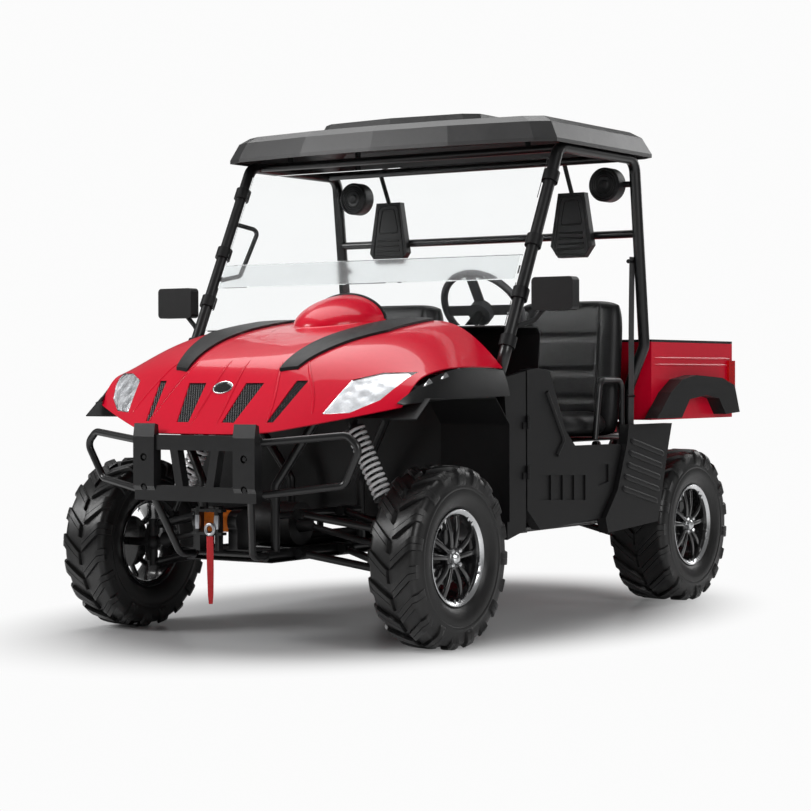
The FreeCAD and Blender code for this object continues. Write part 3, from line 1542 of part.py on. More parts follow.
def hinge(height_z, way):
    """One half of a door hinge: its barrel above or below the joint, and its leaf on the panel."""
    x = d.door_outer_x + d.door_barrel
    low = height_z if way > 0 else height_z - d.door_barrel_length
    high = low + d.door_barrel_length - d.seat_gap
    barrel = cylinder("barrel", d.door_barrel, high - low, (x, d.door_hinge_y, low), UPWARDS)
    edge = d.door_hinge_y + d.door_leaf * way
    span = (d.door_hinge_y, edge) if way > 0 else (edge, d.door_hinge_y)
    leaf = box("leaf", (d.door_outer_x, d.door_outer_x + d.door_leaf_thick), span, (low, high))
    return [barrel, leaf]


def build_doors():
    """A half-height moulded door on each side with slots, a bent rib and two hinge barrels."""
    body = new_body("door")
    pad(body, "YZ_Plane", door_points(DOOR_SHARES), d.door_inner_x, d.door_outer_x - d.door_inner_x)
    edge_y = float(d.door_hinge_y + d.door_leaf)
    round_edges(body, d.door_round, SIDEWAYS, lambda edge: edge.CenterOfMass.y > edge_y)
    for shares in DOOR_SLOT_SHARES:
        relief = d.door_outer_x - d.door_relief
        pocket(body, "YZ_Plane", door_points(shares), relief, d.door_relief + d.overrun)
    middle = [vector(d.door_outer_x, y, z) for y, z in door_points(DOOR_RIB_SHARES)]
    rib = feature("rib", tube(middle, d.door_rib_half, d.door_rib_half * TWICE_SHARE))
    barrels = hinge(d.door_hinge_low_z, 1) + hinge(d.door_hinge_high_z, 1)
    door = fuse([body, rib] + barrels, "door")
    keep(door, "left_door")
    keep(mirrored(door), "right_door")


def build_side_panels():
    """The fixed black panels ahead of and behind each door."""
    y = d.door_hinge_y - d.door_gap * HALF_SHARE
    kick = [(y - d.kick_length * a, d.kick_low_z + d.kick_height * b) for a, b in KICK_SHARES]
    front = slab("kick_panel", "YZ_Plane", kick, d.panel_inner_x, d.door_outer_x - d.panel_inner_x)
    barrels = hinge(d.door_hinge_low_z, -1) + hinge(d.door_hinge_high_z, -1)
    kick_panel = clear_of_hoops(fuse([front] + barrels, "kick"), "kick_cut")
    near = [(a + d.door_gap, b) for a, b in reversed(door_points(DOOR_SHARES)[2:5])]
    start = near[-1][0]
    free = [(start + (d.side_rear_y - start) * a, d.side_low_z + d.side_height * b) for a, b in SIDE_SHARES]
    rear = slab("rear_panel", "YZ_Plane", near + free, d.panel_inner_x, d.side_outer_x - d.panel_inner_x)
    left = compound_of([kick_panel, rear], "left_panels")
    pair(left, "side_panels")


# Cargo bed

def bed_ear(side):
    """One of the two plates that carry the bed on the frame's hinge tube."""
    x = d.bed_ear_x * side - d.bed_ear_thick * HALF_SHARE
    plate = box("ear", (x, x + d.bed_ear_thick), (d.hinge_y - d.bed_ear_half, d.hinge_y + d.bed_ear_half),
                (d.hinge_z - d.bed_ear_half, d.bed_low_z))
    length = d.bed_ear_thick + d.overrun * TWICE_SHARE
    start = (x - d.overrun, d.hinge_y, d.hinge_z)
    bore = cylinder("bore", d.hinge_tube + d.running_gap, length, start, SIDEWAYS)
    return cut(plate, bore, "ear_plate")


def bed_channel(side):
    """One of the two channels under the bed that rest on the frame's bed rails."""
    x = d.bed_rail_x * side
    low = d.bed_rail_z + d.bed_rail_radius + d.seat_gap
    return box("channel", (x - d.bed_channel_half, x + d.bed_channel_half),
               (d.bed_front_y + d.channel_gap, d.hinge_y - d.channel_gap), (low, d.bed_low_z))


def gate_hinge(side, way):
    """One half of a tailgate hinge: its barrel and its leaf, up on the gate or down on the bed's floor."""
    start = d.gate_barrel_x if way > 0 else d.gate_barrel_x + d.gate_barrel_length
    length = d.gate_barrel_length - d.seat_gap
    low_x = start if side > 0 else -start - length
    y = d.bed_rear_y + d.gate_barrel + d.seat_gap
    z = d.bed_low_z + d.bed_floor
    barrel = cylinder("gate_barrel", d.gate_barrel, length, (low_x, y, z), SIDEWAYS)
    height = (z + d.seat_gap, z + d.gate_leaf) if way > 0 else (d.bed_low_z, z - d.seat_gap)
    leaf = box("gate_leaf", (low_x, low_x + length), (d.bed_rear_y, d.bed_rear_y + d.gate_leaf_thick), height)
    return [barrel, leaf]


def build_bed():
    """An open box with three fixed walls and a floor, on two channels and two ears."""
    body = new_body("bed")
    wall = d.bed_wall
    rear = d.bed_rear_y
    front = d.bed_front_y
    block = [(-d.bed_half, front), (d.bed_half, front), (d.bed_half, rear), (-d.bed_half, rear)]
    pad(body, "XY_Plane", block, d.bed_low_z, d.bed_top_z - d.bed_low_z)
    inner = d.bed_half - wall
    gate_edge = d.gate_half + d.gate_gap
    gate_front = rear - d.gate_thick - d.gate_gap
    floor_top = d.bed_low_z + d.bed_floor
    pocket(body, "XY_Plane", [
        (-inner, front + wall), (inner, front + wall), (inner, gate_front), (gate_edge, gate_front),
        (gate_edge, rear + d.overrun), (-gate_edge, rear + d.overrun),
        (-gate_edge, gate_front), (-inner, gate_front),
    ], floor_top, d.bed_top_z - floor_top + d.overrun)
    carriers = [bed_ear(1), bed_ear(-1), bed_channel(1), bed_channel(-1)]
    keep(fuse([body] + carriers + gate_hinge(1, -1) + gate_hinge(-1, -1), "bed_box"), "cargo_bed")


def build_bed_trim():
    """The black cap rail on three walls with the wheel flares, and the tail lamps at the rear corners."""
    wall = d.bed_wall
    outer, inner = d.bed_half, d.bed_half - wall
    cap = [
        (-outer, d.bed_front_y), (outer, d.bed_front_y), (outer, d.bed_rear_y), (inner, d.bed_rear_y),
        (inner, d.bed_front_y + wall), (-inner, d.bed_front_y + wall),
        (-inner, d.bed_rear_y), (-outer, d.bed_rear_y),
    ]
    rail = slab("cap", "XY_Plane", cap, d.bed_top_z + d.seat_gap, d.rail_cap)
    length, height = d.flare_length, d.flare_height
    arch = [(d.flare_front_y + length * a, d.flare_low_z + height * b) for a, b in FLARE_SHARES]
    side = d.bed_half + d.seat_gap
    flare = slab("flare", "YZ_Plane", arch, side, d.flare_outer_x - side)
    keep(compound_of([rail, flare, mirrored(flare)], "trim"), "bed_trim")
    rear = d.bed_rear_y + d.seat_gap
    depth, wrap_y = d.tail_lamp_depth, d.bed_rear_y - d.tail_lamp_wrap
    corner = [
        (d.tail_lamp_inner_x, rear), (side, rear), (side, wrap_y), (side + depth, wrap_y),
        (side + depth, rear + depth), (d.tail_lamp_inner_x, rear + depth),
    ]
    pair(slab("tail_lamp", "XY_Plane", corner, d.tail_lamp_low_z, d.tail_lamp_height), "tail_lamps")


def build_tailgate():
    """The gate between the bed's rear posts, hinged along its lower edge."""
    low = d.bed_low_z + d.bed_floor + d.gate_gap
    half, top = d.gate_half, d.bed_top_z
    points = [(-half, low), (half, low), (half, top), (-half, top)]
    panel = slab("gate", "XZ_Plane", points, -d.bed_rear_y, d.gate_thick)
    keep(fuse([panel] + gate_hinge(1, 1) + gate_hinge(-1, 1), "gate_panel"), "tailgate")


# Bumper, winch and hitch

def bumper_tubes():
    """The left foot down to the frame and the left side loop of the bumper."""
    middle_y = d.bumper_y + d.post_depth * HALF_SHARE
    foot = [
        ((d.post_inner_x + d.post_outer_x) * HALF_SHARE, middle_y, d.post_low_z + d.bar_half_height),
        (d.rail_x, d.foot_run_y, d.rail_z), (d.rail_x, d.rail_front_y - d.seat_gap, d.rail_z),
    ]
    loop = [
        (d.post_outer_x + d.loop_reach * a, middle_y + d.loop_depth * b, d.bar_low_z + d.loop_height * c)
        for a, b, c in LOOP_SHARES
    ]
    return [feature("pipe", tube(points, d.loop_radius, d.loop_bend)) for points in (foot, loop)]


def build_bumper():
    """Two posts on tube feet, two bars across, two slats between them and a tube loop at each side."""
    side = [(d.bumper_y + d.post_depth * a, d.post_low_z + d.post_height * b) for a, b in POST_SHARES]
    post = slab("post", "YZ_Plane", side, d.post_inner_x, d.post_outer_x - d.post_inner_x)
    middle_x = (d.post_inner_x + d.post_outer_x) * HALF_SHARE
    for share in POST_HOLE_SHARES:
        start = (middle_x, d.bumper_y - d.overrun, d.post_low_z + d.post_height * share)
        hole = cylinder("recess", d.post_hole_radius, d.post_hole_depth + d.overrun, start, BACKWARDS)
        post = cut(post, hole, "post_cut")
    y_span = (d.bumper_y + d.bar_inset, d.bumper_y + d.bar_inset + d.bar_depth)
    bars = [
        box("bar", (-d.post_outer_x, d.post_outer_x), y_span, (z - d.bar_half_height, z + d.bar_half_height))
        for z in (d.bar_high_z, d.bar_low_z)
    ]
    foot_x, head_x = d.slat_x, d.slat_x + d.slat_slant
    slat = slab("slat", "XZ_Plane", [
        (foot_x - d.slat_half, d.bar_low_z), (foot_x + d.slat_half, d.bar_low_z),
        (head_x + d.slat_half, d.bar_high_z), (head_x - d.slat_half, d.bar_high_z),
    ], -y_span[1], d.bar_depth)
    left = [post, slat] + bumper_tubes()
    keep(fuse(left + [mirrored(item) for item in left] + bars, "guard_rail"), "front_bumper")


def fairlead(x, z, tray_low):
    """The roller fairlead ahead of the winch: two cheeks on feet, two upright rollers and two bars across."""
    parts = []
    tray_high = tray_low + d.tray_thick
    foot_y = (d.roller_y, d.tray_front_y + d.tray_thick)
    cheek_y = (d.roller_y, d.roller_y + d.cheek_depth)
    for side in (-1, 1):
        middle = x + d.roller_x * side
        x_span = (middle - d.roller_radius, middle + d.roller_radius)
        parts.append(box("cheek", x_span, cheek_y, (tray_low, z + d.fairlead_half_height)))
        parts.append(box("cheek_foot", x_span, foot_y, (tray_low, tray_high)))
        start = (middle, d.roller_y, z - d.roller_half)
        parts.append(cylinder("roller", d.roller_radius, d.roller_half * TWICE_SHARE, start, UPWARDS))
    y_span = (d.roller_y - d.roller_radius * HALF_SHARE, d.roller_y + d.cheek_depth)
    for way in (-1, 1):
        middle = z + d.roller_half * way
        height = (middle - d.fairlead_thick, middle + d.fairlead_thick)
        parts.append(box("fairlead", (x - d.fairlead_half, x + d.fairlead_half), y_span, height))
    return parts


def build_winch():
    """The winch with its two ends on a tray, its roller fairlead and the orange rope on its drum."""
    x, z = d.winch_x, d.winch_z
    tray_low = d.rail_z + d.rail_radius + d.seat_gap
    tray_z = (tray_low, tray_low + d.tray_thick)
    parts = [box("tray", (-d.tray_half, d.tray_half), (d.tray_front_y, d.tray_rear_y), tray_z)]
    start = (x - d.drum_half, d.winch_y, z)
    parts.append(cylinder("drum", d.drum_radius, d.drum_half * TWICE_SHARE, start, SIDEWAYS))
    leg_y = (d.winch_y - d.winch_leg_half, d.winch_y + d.winch_leg_half)
    for near in (x - d.drum_half - d.winch_end_length, x + d.drum_half):
        start = (near, d.winch_y, z)
        parts.append(cylinder("winch_end", d.winch_end_radius, d.winch_end_length, start, SIDEWAYS))
        parts.append(box("winch_leg", (near, near + d.winch_end_length), leg_y, (tray_low, z)))
    keep(fuse(parts + fairlead(x, z, tray_low), "winch_body"), "winch")
    rope_half = d.drum_half - d.seat_gap
    start = (x - rope_half, d.winch_y, z)
    rope = cylinder("rope", d.rope_radius, rope_half * TWICE_SHARE, start, SIDEWAYS)
    core = cylinder("core", d.drum_radius + d.seat_gap, rope_half * TWICE_SHARE, start, SIDEWAYS)
    keep(cut(rope, core, "coil"), "winch_rope")


def build_hook():
    """The hook's ring before the rollers and the strap that hangs from it."""
    x, z = d.winch_x + d.hook_drop, d.winch_z - d.hook_drop
    y = d.roller_y - d.roller_radius - d.hook_tube - d.seat_gap
    ring = doc.addObject("Part::Torus", "hook_ring")
    bind(ring, Radius1=d.hook_radius, Radius2=d.hook_tube)
    place(ring, x, y, z, FreeCAD.Rotation(SIDEWAYS, 90))
    keep(ring, "winch_hook")
    top = z - d.hook_radius - d.hook_tube - d.seat_gap
    strap = [(x + d.strap_sway * a, y - d.strap_sway * a, top - d.strap_length * b) for a, b in STRAP_SHARES]
    keep(feature("strap", cord(strap, d.strap_radius)), "winch_strap")


def build_muffler():
    """The muffler with its pipe from the engine and its two hangers."""
    y, z = d.muffler_y, d.muffler_z
    can = bar((-d.muffler_half, y, z), (d.muffler_half, y, z), d.muffler_radius)
    post = (d.bed_rail_x, d.hinge_y, d.tower_waist_z), (d.bed_rail_x, d.hinge_y, d.hinge_z)
    hanger_top = (d.bed_rail_x, d.hinge_y, d.hinge_z - d.overrun)
    hanger = bar((d.muffler_half - d.hanger_radius, y, z), hanger_top, d.hanger_radius)
    hanger = hanger.cut(bar(*post, d.cross_radius + d.seat_gap))
    pipe_x = -d.engine_half * HALF_SHARE
    pipe_z = d.engine_top_z - d.muffler_radius
    pipe = tube([
        (pipe_x, d.engine_rear_y + d.seat_gap, pipe_z),
        (pipe_x, y - d.muffler_radius * TWICE_SHARE, pipe_z),
        (pipe_x, y, z),
    ], d.pipe_radius, d.muffler_radius)
    keep(feature("muffler_can", join([can, pipe, hanger, right_of(hanger)])), "muffler")


def build_hitch():
    """The square hitch receiver with its cross pin hole."""
    start = rear_post_y + d.cross_radius + d.seat_gap
    half, bore_half = d.hitch_half, d.hitch_bore_half
    tube_y = (start, d.hitch_end_y)
    bore_y = (start + d.overrun, d.hitch_end_y + d.overrun)
    outer = box("receiver", (-half, half), tube_y, (d.rail_z - half, d.rail_z + half))
    bore = box("socket", (-bore_half, bore_half), bore_y, (d.rail_z - bore_half, d.rail_z + bore_half))
    pin_start = (-half - d.overrun, d.hitch_end_y - d.hitch_pin_inset, d.rail_z)
    pin = cylinder("pin_hole", d.hitch_pin_radius, (half + d.overrun) * TWICE_SHARE, pin_start, SIDEWAYS)
    keep(cut(outer, fuse([bore, pin], "hollow"), "tube_end"), "hitch_receiver")


# Cab equipment

def pillar_space(y_of, low_z, high_z):
    """The round space that a pillar takes between two heights, with the seating gap."""
    return bar((d.cage_x, y_of(low_z), low_z), (d.cage_x, y_of(high_z), high_z), d.cage_tube + d.seat_gap)


def build_pillar_fittings():
    """What each front pillar carries: a rounded mirror on a bent arm, and the windshield's clamps."""
    body = new_body("mirror_head")
    points = [
        (d.mirror_inner_x, d.mirror_low_z), (d.mirror_outer_x, d.mirror_low_z),
        (d.mirror_outer_x, d.mirror_top_z), (d.mirror_inner_x, d.mirror_top_z),
    ]
    pad(body, "XZ_Plane", points, -d.mirror_y - d.mirror_depth * HALF_SHARE, d.mirror_depth)
    round_edges(body, d.mirror_round, BACKWARDS)
    arm_z = d.mirror_low_z - d.mirror_round
    foot_z = arm_z - d.mirror_depth
    arm = tube([
        (d.mirror_inner_x + d.mirror_depth, d.mirror_y, d.mirror_low_z + d.mirror_round),
        (d.mirror_inner_x, d.mirror_y, arm_z - d.mirror_round),
        (d.cage_x, pillar_y(foot_z), foot_z),
    ], d.mirror_arm, d.mirror_round)
    seated = arm.cut(pillar_space(pillar_y, d.pillar_base_z, d.mirror_top_z))
    mirror = fuse([body, feature("arm", seated)], "mirror")
    pair(compound_of([mirror, pillar_clamps()], "fittings"), "pillar_fittings")


def headrest():
    """The left head plate, which hangs from the rear roof bar and lies on the bar behind it."""
    back_y = rear_pillar_y(d.cross_bar_z) - d.cross_radius - d.seat_gap
    waist_z = d.headrest_low_z + d.headrest_low_half * HALF_SHARE
    body = new_body("head_plate")
    points = [
        (d.headrest_x - d.headrest_low_half, waist_z),
        (d.headrest_x - d.headrest_top_half, d.headrest_low_z),
        (d.headrest_x + d.headrest_top_half, d.headrest_low_z),
        (d.headrest_x + d.headrest_low_half, waist_z),
        (d.headrest_x + d.headrest_top_half, d.headrest_top_z),
        (d.headrest_x - d.headrest_top_half, d.headrest_top_z),
    ]
    pad(body, "XZ_Plane", points, -back_y, d.headrest_thick)
    plate_y = back_y - d.headrest_thick * HALF_SHARE
    top = (d.headrest_x, d.roof_bar_rear_y, d.cage_top_z)
    hanger = bar((d.headrest_x, plate_y, d.headrest_top_z - d.overrun), top, d.mirror_arm)
    roof_bar = (0, d.roof_bar_rear_y, d.cage_top_z), (d.cage_x, d.roof_bar_rear_y, d.cage_top_z)
    space = bar(*roof_bar, d.cross_radius + d.seat_gap)
    return fuse([body, feature("hanger", hanger.cut(space))], "headrest")


def speaker_pod():
    """The left round speaker pod on a short stalk from the rear pillar."""
    start = (d.pod_x, d.pod_y - d.pod_depth * HALF_SHARE, d.pod_z)
    pod = cylinder("pod", d.pod_radius, d.pod_depth, start, BACKWARDS)
    stalk = bar((d.pod_x, d.pod_y, d.pod_z), (d.cage_x, rear_pillar_y(d.pod_z), d.pod_z), d.hoop_radius)
    space = pillar_space(rear_pillar_y, d.rear_pillar_base_z, d.cage_top_z - d.cage_knee_bend)
    return fuse([pod, feature("stalk", stalk.cut(space))], "speaker")


def build_cab_mouldings():
    """Two head plates and two speaker pods at the rear of the cab."""
    pair(compound_of([headrest(), speaker_pod()], "rear_mouldings"), "cab_mouldings")


def build_belts():
    """A flat seat belt strap along the inside of each rear pillar."""
    outer = d.cage_x - d.cage_tube - d.seat_gap
    half = d.belt_width * HALF_SHARE
    top_y, low_y = rear_pillar_y(d.cross_bar_z), d.seat_box_rear_y - half
    top_z, low_z = d.cross_bar_z - d.cage_bend, seat_low_z
    points = [(low_y - half, low_z), (low_y + half, low_z), (top_y + half, top_z), (top_y - half, top_z)]
    pair(slab("belt", "YZ_Plane", points, outer - d.belt_thick, d.belt_thick), "seat_belts")


def write_parts():
    """Check every object and every sub-part, then write each sub-part's shape to its own file."""
    doc.recompute()
    for item in doc.Objects:
        if "Invalid" in item.State or "Error" in item.State:
            raise RuntimeError(f"{item.Name} of {item.Label} failed: {item.State}")
    os.makedirs("parts", exist_ok=True)
    for item in subparts:
        shape = item.Shape
        if shape.isNull() or not shape.isValid() or not shape.Solids:
            raise RuntimeError(f"{item.Label} has no valid solid")
        shape.exportStep(os.path.join("parts", f"{item.Label}.step"))
    print(f"{len(subparts)} sub-parts written")


build_wheels()
build_knuckles()
build_suspension_arms()
build_shocks()
build_frame()
build_engine()
build_driveline()
build_roll_cage()
build_hip_hoops()
build_windshield()
build_roof()
build_hood()
build_front_fenders()
build_dash()
build_steering()
build_floor()
build_seats()
build_doors()
build_side_panels()
build_bed()
build_bed_trim()
build_tailgate()
build_bumper()
build_winch()
build_hook()
build_muffler()
build_hitch()
build_pillar_fittings()
build_cab_mouldings()
build_belts()
write_parts()
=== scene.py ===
"""Looks of a side by side utility vehicle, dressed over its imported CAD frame.

Metres, +Z up, the front faces -Y and +X is the vehicle's left, the driver's side.
"""

from __future__ import annotations

import json
import logging
import math
from collections.abc import Iterable, Iterator
from dataclasses import dataclass
from enum import Enum

import bmesh
import bpy
import numpy as np
from mathutils import Matrix, Vector

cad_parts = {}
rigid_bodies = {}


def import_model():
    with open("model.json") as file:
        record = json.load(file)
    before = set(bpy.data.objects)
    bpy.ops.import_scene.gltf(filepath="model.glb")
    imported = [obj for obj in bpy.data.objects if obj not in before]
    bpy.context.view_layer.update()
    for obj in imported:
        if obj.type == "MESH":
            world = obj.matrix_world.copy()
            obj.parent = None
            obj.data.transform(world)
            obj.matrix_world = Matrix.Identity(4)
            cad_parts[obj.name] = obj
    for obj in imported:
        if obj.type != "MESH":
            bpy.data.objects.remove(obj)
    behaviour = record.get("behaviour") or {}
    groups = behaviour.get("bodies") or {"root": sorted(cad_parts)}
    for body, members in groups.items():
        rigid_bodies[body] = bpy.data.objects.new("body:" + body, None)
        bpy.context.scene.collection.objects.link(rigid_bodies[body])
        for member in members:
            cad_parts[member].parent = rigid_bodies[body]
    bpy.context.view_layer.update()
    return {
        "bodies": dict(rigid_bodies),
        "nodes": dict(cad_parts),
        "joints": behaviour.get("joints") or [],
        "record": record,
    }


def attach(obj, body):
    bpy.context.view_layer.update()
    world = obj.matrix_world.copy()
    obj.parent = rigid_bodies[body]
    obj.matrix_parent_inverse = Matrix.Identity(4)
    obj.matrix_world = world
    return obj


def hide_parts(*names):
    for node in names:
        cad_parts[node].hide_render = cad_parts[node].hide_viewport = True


LOG = logging.getLogger("utility_vehicle")
FULL_TURN = 2.0 * math.pi
X_AXIS, Y_AXIS, Z_AXIS = np.eye(3)
MIRROR_X = np.diag([-1.0, 1.0, 1.0, 1.0])
SAME_POINT = 1e-6
GREY = (0.5, 0.5, 0.5, 1.0)
AXLE_HEIGHT = 0.3175
Colour = tuple[float, float, float]
Point = tuple[float, float, float]
Profile = tuple[tuple[float, float], ...] | list[tuple[float, float]]


# Meshes


@dataclass
class Shell:
    """Vertices with their map coordinates, and faces of four or three corners."""

    points: np.ndarray
    quads: np.ndarray
    tris: np.ndarray
    uv: np.ndarray

    @staticmethod
    def from_grid(points: np.ndarray, close_u: bool = False, close_v: bool = False) -> Shell:
        """Faces between the neighbours of a grid of points.

        Args:
            points: array of rows by columns by three coordinates.
            close_u: whether the last row joins the first.
            close_v: whether the last column joins the first.

        Returns:
            The shell, with map coordinates that run from 0 to 1 along rows and columns.
        """
        rows, columns = points.shape[:2]
        place = np.arange(rows * columns).reshape(rows, columns)
        if close_u:
            place = np.vstack([place, place[:1]])
        if close_v:
            place = np.hstack([place, place[:, :1]])
        corners = (place[:-1, :-1], place[1:, :-1], place[1:, 1:], place[:-1, 1:])
        quads = np.stack([c.ravel() for c in corners], axis=1)
        u, v = np.meshgrid(np.linspace(0, 1, rows), np.linspace(0, 1, columns), indexing="ij")
        return Shell(points.reshape(-1, 3), quads, np.zeros((0, 3), int), np.stack([u.ravel(), v.ravel()], axis=1))

    @staticmethod
    def from_triangles(points: np.ndarray, tris: np.ndarray, uv: np.ndarray) -> Shell:
        """A shell of triangles only."""
        return Shell(points, np.zeros((0, 4), int), tris, uv)

    @staticmethod
    def bar(grid: np.ndarray) -> Shell:
        """A closed bar, from a grid whose rows are its cross sections."""
        columns = grid.shape[1]
        return Shell.from_grid(grid, close_v=True).capped(0, columns).capped(-1, columns)

    @staticmethod
    def joined(shells: list[Shell]) -> Shell:
        """Several shells as one, in their order."""
        starts = np.cumsum([0] + [len(s.points) for s in shells[:-1]])
        return Shell(
            np.vstack([s.points for s in shells]),
            np.vstack([s.quads + k for s, k in zip(shells, starts)]),
            np.vstack([s.tris + k for s, k in zip(shells, starts)]),
            np.vstack([s.uv for s in shells]),
        )

    def capped(self, row: int, columns: int) -> Shell:
        """The shell with one row of its grid closed by a fan about the row's middle.

        Args:
            row: the row's number, or -1 for the last one.
            columns: how many points a row has.

        Returns:
            The closed shell.
        """
        rows = len(self.points) // columns
        first = (row % rows) * columns
        ring = np.arange(first, first + columns)
        fan = np.stack([ring, np.roll(ring, -1), np.full(columns, len(self.points))], axis=1)
        if row == 0:
            fan = fan[:, ::-1]
        return Shell(
            np.vstack([self.points, self.points[ring].mean(axis=0)]),
            self.quads,
            np.vstack([self.tris, fan]),
            np.vstack([self.uv, self.uv[ring].mean(axis=0)]),
        )

    def moved(self, matrix: np.ndarray) -> Shell:
        """The shell moved by a four by four matrix."""
        return Shell(self.points @ matrix[:3, :3].T + matrix[:3, 3], self.quads, self.tris, self.uv)

    def copies(self, matrices: list[np.ndarray]) -> Shell:
        """One shell that holds a moved copy for every matrix."""
        return Shell.joined([self.moved(m) for m in matrices])

    def both_sides(self) -> Shell:
        """The shell with its mirror image on the vehicle's other side."""
        return Shell.joined([self, self.moved(MIRROR_X)])


def shift(x: float, y: float, z: float) -> np.ndarray:
    """A move by three lengths."""
    matrix = np.eye(4)
    matrix[:3, 3] = (x, y, z)
    return matrix


def turn(axis: str, angle: float) -> np.ndarray:
    """A turn about the X, Y or Z axis, in radians."""
    return np.array(Matrix.Rotation(angle, 4, axis))


def unit(ways: np.ndarray) -> np.ndarray:
    """Directions of length one, one for each row."""
    return ways / np.linalg.norm(ways, axis=-1, keepdims=True)


def circle(count: int) -> np.ndarray:
    """Evenly spaced angles of a full turn."""
    return np.linspace(0, FULL_TURN, count, endpoint=False)


def rounded(count: int, wide: float, tall: float, powers: tuple[float, float]) -> tuple[np.ndarray, np.ndarray]:
    """A rounded rectangle: (wide |cos a|^p, tall |sin a|^q), each with the sign of its cosine or sine.

    Args:
        count: how many points it has.
        wide: half of its width.
        tall: half of its height.
        powers: p and q; the lower they are, the flatter its sides.

    Returns:
        The points' widths and heights.
    """
    c, s = np.cos(circle(count)), np.sin(circle(count))
    return wide * np.sign(c) * np.abs(c) ** powers[0], tall * np.sign(s) * np.abs(s) ** powers[1]


def faded(count: int, run: float, start: float) -> np.ndarray:
    """Shares that rise from a start to 1 over a run of points and fall again at the end."""
    place = np.arange(count)
    return np.clip(np.minimum(place, place[::-1]) / run + start, 0, 1)


def sweep(middle: np.ndarray, side: np.ndarray, up: np.ndarray, wide: np.ndarray, tall: np.ndarray) -> np.ndarray:
    """Sections carried along a line: each point is middle + wide * side + tall * up.

    Args:
        middle: the line's points.
        side: the way of the sections' width, one for all points or one for each.
        up: the way of the sections' height, likewise.
        wide: the section's widths, one row for all points or one for each.
        tall: the section's heights, likewise.

    Returns:
        A grid with one row for each point of the line.
    """
    side, up = (np.broadcast_to(way, middle.shape)[:, None, :] for way in (side, up))
    wide, tall = (np.atleast_2d(reach)[..., None] for reach in (wide, tall))
    return middle[:, None, :] + wide * side + tall * up


def revolve(profile: Profile, steps: int) -> Shell:
    """A closed profile turned round the X axis: (x, r) becomes (x, r sin a, r cos a).

    Args:
        profile: points of x and radius.
        steps: how many steps a full turn has.

    Returns:
        The turned surface.
    """
    x, r = np.array(profile).T
    a = circle(steps)[:, None]
    grid = np.stack([np.repeat(x[None, :], steps, axis=0), r * np.sin(a), r * np.cos(a)], axis=2)
    return Shell.from_grid(grid, close_u=True, close_v=True)


def tube(path: np.ndarray | list[Point], radius: float | np.ndarray, sides: int, closed: bool = False) -> Shell:
    """A round tube: at each point of a path, a circle across the path's direction.

    Args:
        path: points along the middle.
        radius: one radius, or one for each point.
        sides: how many sides the circle has.
        closed: whether the path's end joins its start.

    Returns:
        The tube, with its ends closed unless the path is.
    """
    path = np.asarray(path, float)
    ahead = np.roll(path, -1, axis=0) - np.roll(path, 1, axis=0) if closed else np.gradient(path, axis=0)
    flattest = int(np.argmin(np.ptp(path, axis=0) + (0.0, SAME_POINT, 2 * SAME_POINT)))
    across = unit(np.cross(unit(ahead), np.eye(3)[flattest]))
    reach, a = np.broadcast_to(radius, len(path))[:, None], circle(sides)
    grid = sweep(path, across, np.cross(across, unit(ahead)), reach * np.cos(a), reach * np.sin(a))
    return Shell.from_grid(grid, close_u=True, close_v=True) if closed else Shell.bar(grid)


def smooth_path(points: list[Point], count: int) -> np.ndarray:
    """A smooth line near a few points: three rounds of corner cutting, then even spacing.

    Args:
        points: the corners.
        count: how many points the line gets.

    Returns:
        The line's points.
    """
    line = np.array(points, float)
    for _ in range(3):
        a = 0.75 * line[:-1] + 0.25 * line[1:]
        b = 0.25 * line[:-1] + 0.75 * line[1:]
        line = np.vstack([line[:1], np.stack([a, b], axis=1).reshape(-1, 3), line[-1:]])
    steps = np.linalg.norm(np.diff(line, axis=0), axis=1)
    along = np.concatenate([[0.0], np.cumsum(steps)])
    even = np.linspace(0, along[-1], count)
    return np.stack([np.interp(even, along, line[:, k]) for k in range(3)], axis=1)


def outline(corners: list[tuple[float, float]], shares: tuple[float, float], count: int, y: float) -> np.ndarray:
    """A closed line round four corners in an XZ plane, with its corners cut.

    Args:
        corners: the corners' x and z.
        shares: how much of a side is cut at each end, on the flat and on the upright sides.
        count: how many points a side gets.
        y: where the plane lies.

    Returns:
        The line's points.
    """
    loop = []
    for k, (a, b) in enumerate(zip(corners, corners[1:] + corners[:1])):
        a, b = np.array(a), np.array(b)
        loop += [a + (b - a) * s for s in np.linspace(shares[k % 2], 1 - shares[k % 2], count)]
    return np.array([(x, y, z) for x, z in loop])


def put_mesh(name: str, shell: Shell, heal: bool = True, crease_angle: float = 35.0) -> bpy.types.Object:
    """A mesh object from a shell, smooth where its faces meet at a small angle.

    Args:
        name: the object's name.
        shell: the surface.
        heal: whether doubles are merged and the faces turned outwards.
        crease_angle: faces that meet at more degrees than this keep a sharp edge.

    Returns:
        The object, at the origin.
    """
    mesh = bpy.data.meshes.new(name)
    mesh.from_pydata(shell.points.tolist(), [], shell.quads.tolist() + shell.tris.tolist())
    layer = mesh.uv_layers.new(name="UVMap")
    loops = np.empty(len(mesh.loops), int)
    mesh.loops.foreach_get("vertex_index", loops)
    layer.data.foreach_set("uv", shell.uv[loops].astype(np.float32).ravel())
    if heal:
        work = bmesh.new()
        work.from_mesh(mesh)
        bmesh.ops.remove_doubles(work, verts=work.verts, dist=SAME_POINT)
        bmesh.ops.recalc_face_normals(work, faces=work.faces)
        work.to_mesh(mesh)
        work.free()
    mesh.update()
    mesh.polygons.foreach_set("use_smooth", np.ones(len(mesh.polygons), bool))
    mesh.set_sharp_from_angle(angle=math.radians(crease_angle))
    piece = bpy.data.objects.new(name, mesh)
    bpy.context.scene.collection.objects.link(piece)
    return piece


